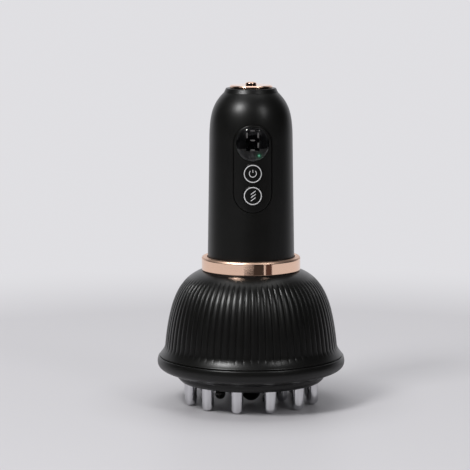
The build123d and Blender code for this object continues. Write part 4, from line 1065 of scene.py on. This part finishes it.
ring_reach = 4.45 * mm
printed("power_ring", [arc(power_z, ring_reach, 0, 360, 96)], 0.23 * mm, "power_key")
printed("mode_ring", [arc(mode_z, ring_reach, 0, 360, 96)], 0.25 * mm, "mode_key")
power_sign = [arc(power_z + 0.15 * mm, 1.87 * mm, 133, 407, 40)]
power_sign.append(straight((0, power_z + 0.6 * mm), (0, power_z + 2.1 * mm)))
printed("power_sign", power_sign, 0.19 * mm, "power_key")
strokes = [
    straight((-1.0 * mm, mode_z + (rise - 0.9) * mm), (1.4 * mm, mode_z + (rise + 0.9) * mm))
    for rise in (-1.7, 0, 1.7)
]
printed("mode_sign", strokes, 0.21 * mm, "mode_key")

# %% [markdown]
# ## Digit
#
# A numeral of this kind has seven bars with pointed ends. Six are lit and make a nine. The bar
# that stays dark is there too, since on the real module it can be seen faintly.

# %% Digit and lamp
module_low, module_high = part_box("display_module")
digit_z = (module_low.z + module_high.z) / 2
across, half_height, bar = 2.87 * mm, 5.08 * mm, 0.36 * mm
level_gap, upright_gap = 1.6 * mm, 1.05 * mm


def seven_bars(name, bars, finish):
    """Bars of a numeral, each from one corner of the figure eight to the next."""
    mesh = bmesh.new()
    for (x1, z1), (x2, z2) in bars:
        start, end = Vector((x1 * across, z1 * half_height)), Vector((x2 * across, z2 * half_height))
        along = (end - start).normalized()
        side = Vector((-along.y, along.x)) * bar
        gap = level_gap if z1 == z2 else upright_gap
        start, end = start + along * gap, end - along * gap
        corners = [start, start + along * bar + side, end - along * bar + side, end]
        corners += [end - along * bar - side, start + along * bar - side]
        front, back = (
            [mesh.verts.new((c.x, y, digit_z + c.y)) for c in corners]
            for y in (module_low.y - 0.12 * mm, module_low.y + 0.1 * mm)
        )
        join(mesh, front, back)
        mesh.faces.new(front)
        mesh.faces.new(back[::-1])
    return wear(piece_of(mesh, name), None, "root", finish=finish)


lit = [((-1, 1), (1, 1)), ((-1, 0), (1, 0)), ((-1, -1), (1, -1))]
lit += [((-1, 1), (-1, 0)), ((1, 1), (1, 0)), ((1, 0), (1, -1))]
seven_bars("digit_nine", lit, digit_white)
seven_bars("digit_unlit_bar", [((-1, 0), (-1, -1))], digit_unlit)

# %% [markdown]
# ## Cap and knob
#
# A plated disc closes the handle, with a skirt that reaches into the opening. Its edge is cut at
# an angle, and the knob in its middle ends in a shallow dome, so both catch the lamps. A bevel
# modifier could round every edge alike, but in an outline each corner gets its own radius.

# %% Cap and knob
cap_radius, cap_low, cap_top = reach_of("filler_cap")
cap_foot = cap_low + 3.5 * mm
skirt, skirt_inner, knob_hole = cap_radius - 1.4 * mm, cap_radius - 3.0 * mm, 3.1 * mm
cap_edge = 0.25 * mm
cap_outline = rounded([
    (knob_hole, cap_top, 0.12 * mm), (cap_radius - 0.9 * mm, cap_top, 0.15 * mm),
    (cap_radius, cap_top - 0.55 * mm, 0.2 * mm), (cap_radius, cap_foot + 0.2 * mm, 0.1 * mm),
    (cap_radius - cap_edge, cap_foot), (skirt, cap_foot), (skirt, cap_low, 0.2 * mm),
    (skirt_inner, cap_low, 0.2 * mm), (skirt_inner, cap_foot), (knob_hole, cap_foot),
])
wear(lathe("cap", cap_outline), "rose_gold", "cap", "filler_cap")
piston_radius, knob_low, knob_top = reach_of("pump_knob")
knob_radius, piston_top = piston_radius - 1 * mm, handle_top - 1.4 * mm
dome_edge_z = knob_top - 1 * mm
knob_dome = curve(
    (knob_radius, dome_edge_z), (knob_radius, knob_top - 0.35 * mm), (knob_radius * 0.6, knob_top),
    (0, knob_top), 14,
)
knob_outline = rounded([
    (0, knob_low), (piston_radius, knob_low, 0.15 * mm), (piston_radius, piston_top - 0.1 * mm, 0.15 * mm),
    (knob_radius, piston_top - 0.1 * mm),
    *knob_dome,
])
wear(lathe("knob", knob_outline, 96), "rose_gold", "knob", "pump_knob")

# %% [markdown]
# ## Floor, background and light
#
# The table is pale and has no edge in the picture. Far from the massager it takes the colour of
# the background, so the two meet without a line. The background is pale for the camera all round.
# What a glossy surface sees is darker on the camera's side, in the room and on two zones of the
# table: that keeps the plastic black in front and leaves its pale edges, as in the photograph. The
# strip of table between the zones stays pale, because it is what the collar mirrors. Near the
# massager the camera sees the lit table with a share of the background's colour mixed in, which
# softens the shadow but keeps it.

# %% Floor and background
backdrop = (0.745, 0.74, 0.765)
near_fade, far_fade, near_share = (0.04, 0.10), (0.15, 0.5), 0.4
ring_start, ring_end, ahead_start = (0.17, 0.23), (0.34, 0.42), (0.60, 0.80)


def rays_of(tree):
    """Which kind of ray is looking, by its name."""
    path = tree.add("ShaderNodeLightPath")
    return {socket.name: Value(tree, socket) for socket in path.socket.node.outputs}


def seen_in(tree, rays):
    """1 for what the camera sees, straight or by a mirror or a window, and 0 for lighting."""
    plain = tree.math("MAXIMUM", rays["Is Camera Ray"], rays["Is Glossy Ray"])
    return tree.math("MAXIMUM", plain, rays["Is Transmission Ray"])


def floor_finish():
    finish = Finish("floor")
    x, y, z = finish.parts_of(finish.place)
    distance = finish.math("SQRT", x * x + y * y)
    finish.put("Base Color", finish.mix(finish.noise(0.3), (0.465, 0.455, 0.47), (0.495, 0.485, 0.50)))
    finish.put("Roughness", 0.5)
    rays = rays_of(finish)
    glow = finish.add("ShaderNodeEmission", None, {"Color": (*backdrop, 1), "Strength": 1.0})
    far = seen_in(finish, rays) * finish.step(distance, *far_fade)
    near = rays["Is Camera Ray"] * finish.step(distance, *near_fade) * near_share
    pale = finish.add("ShaderNodeMixShader", None, {
        0: finish.math("MAXIMUM", far, near), 1: Value(finish, finish.shader.outputs[0]), 2: glow,
    })
    ahead = finish.step(distance, *ahead_start)
    ring = finish.step(distance, *ring_start) * (1 - finish.step(distance, *ring_end))
    in_front = 1 - finish.step(y / distance, 0.2, 0.85)
    dark = finish.add("ShaderNodeEmission", None, {"Color": (0.010, 0.010, 0.011, 1), "Strength": 1.0})
    shown = finish.add("ShaderNodeMixShader", None, {
        0: rays["Is Glossy Ray"] * finish.math("MAXIMUM", ahead, ring * 0.85) * in_front, 1: pale, 2: dark,
    })
    finish.tree.links.new(shown.socket, finish.tree.nodes["Material Output"].inputs[0])
    return finish.material


ground = bmesh.new()
bmesh.ops.create_grid(ground, x_segments=8, y_segments=8, size=15)
ground_piece = piece_of(ground, "floor")
ground_piece.data.materials.append(floor_finish())

world = bpy.data.worlds.new("studio")
bpy.context.scene.world = world
world.use_nodes = True
sky = Tree(world.node_tree)
rays = rays_of(sky)
side = sky.parts_of(sky.add("ShaderNodeTexCoord", output=0))[1]
room = sky.mix(sky.step(side, 0.45, 0.95), (0.008, 0.008, 0.009), (0.85, 0.85, 0.88))
shown = sky.mix(sky.math("MAXIMUM", rays["Is Camera Ray"], rays["Is Transmission Ray"]), room, backdrop)
around = sky.mix(seen_in(sky, rays), (0.36, 0.36, 0.38), shown)
world.node_tree.links.new(around.socket, world.node_tree.nodes["Background"].inputs[0])
print("floor and background ready")

# %% [markdown]
# Two soft lamps stand in front, to the left and to the right, at about forty degrees up. The left
# one is much stronger. They give the two highlights on the handle's shoulder and on the reeds. A
# broad lamp above and a little behind fills the shadows. The collar mirrors dark strips in the
# photograph. What made them isn't known, so two dark cards lie on the table in front, where only
# mirrors see them.


# %% Lamps and cards
def softbox(name, place, width, height, power, target=(0, 0, 0.1)):
    lamp = bpy.data.lights.new(name, "AREA")
    lamp.shape, lamp.size, lamp.size_y, lamp.energy = "RECTANGLE", width, height, power
    holder = placed(name, lamp)
    holder.location = place
    holder.rotation_euler = (Vector(target) - Vector(place)).to_track_quat("-Z", "Y").to_euler()
    return holder


softbox("lamp_left", (-0.62, -0.60, 0.97), 0.32, 0.28, 11.5)
softbox("lamp_right", (0.58, -0.74, 0.80), 0.18, 0.42, 2.1)
softbox("lamp_top", (0.0, 0.35, 1.5), 1.2, 0.9, 6)


def card(name, colour, corners):
    """A dark card on the table in front, which only mirrors see. Its corners are (angle, distance)."""
    mesh = bmesh.new()
    places = [(far * sin(radians(angle)), -far * cos(radians(angle)), 0.0005) for angle, far in corners]
    mesh.faces.new([mesh.verts.new(place) for place in places])
    piece = piece_of(mesh, name)
    piece.data.materials.append(moulded(name, colour, 0.9).material)
    for ray in ("camera", "diffuse", "shadow", "transmission"):
        setattr(piece, f"visible_{ray}", False)
    return piece


near_edge, far_edge = 0.36, 1.0
slant = [(-18, 0.50), (-8, 0.54), (3, 0.57)]
card_left = card("card_left", (0.02, 0.013, 0.010), [
    (-20, near_edge), *slant, (5, far_edge), (27, far_edge), (27, near_edge),
])
card_right = card("card_right", (0.06, 0.025, 0.018), [
    (31, near_edge), (31, far_edge), (46, far_edge), (46, near_edge),
])
bpy.context.scene.view_settings.view_transform = "Standard"
print("lamps: 3, cards: 2")
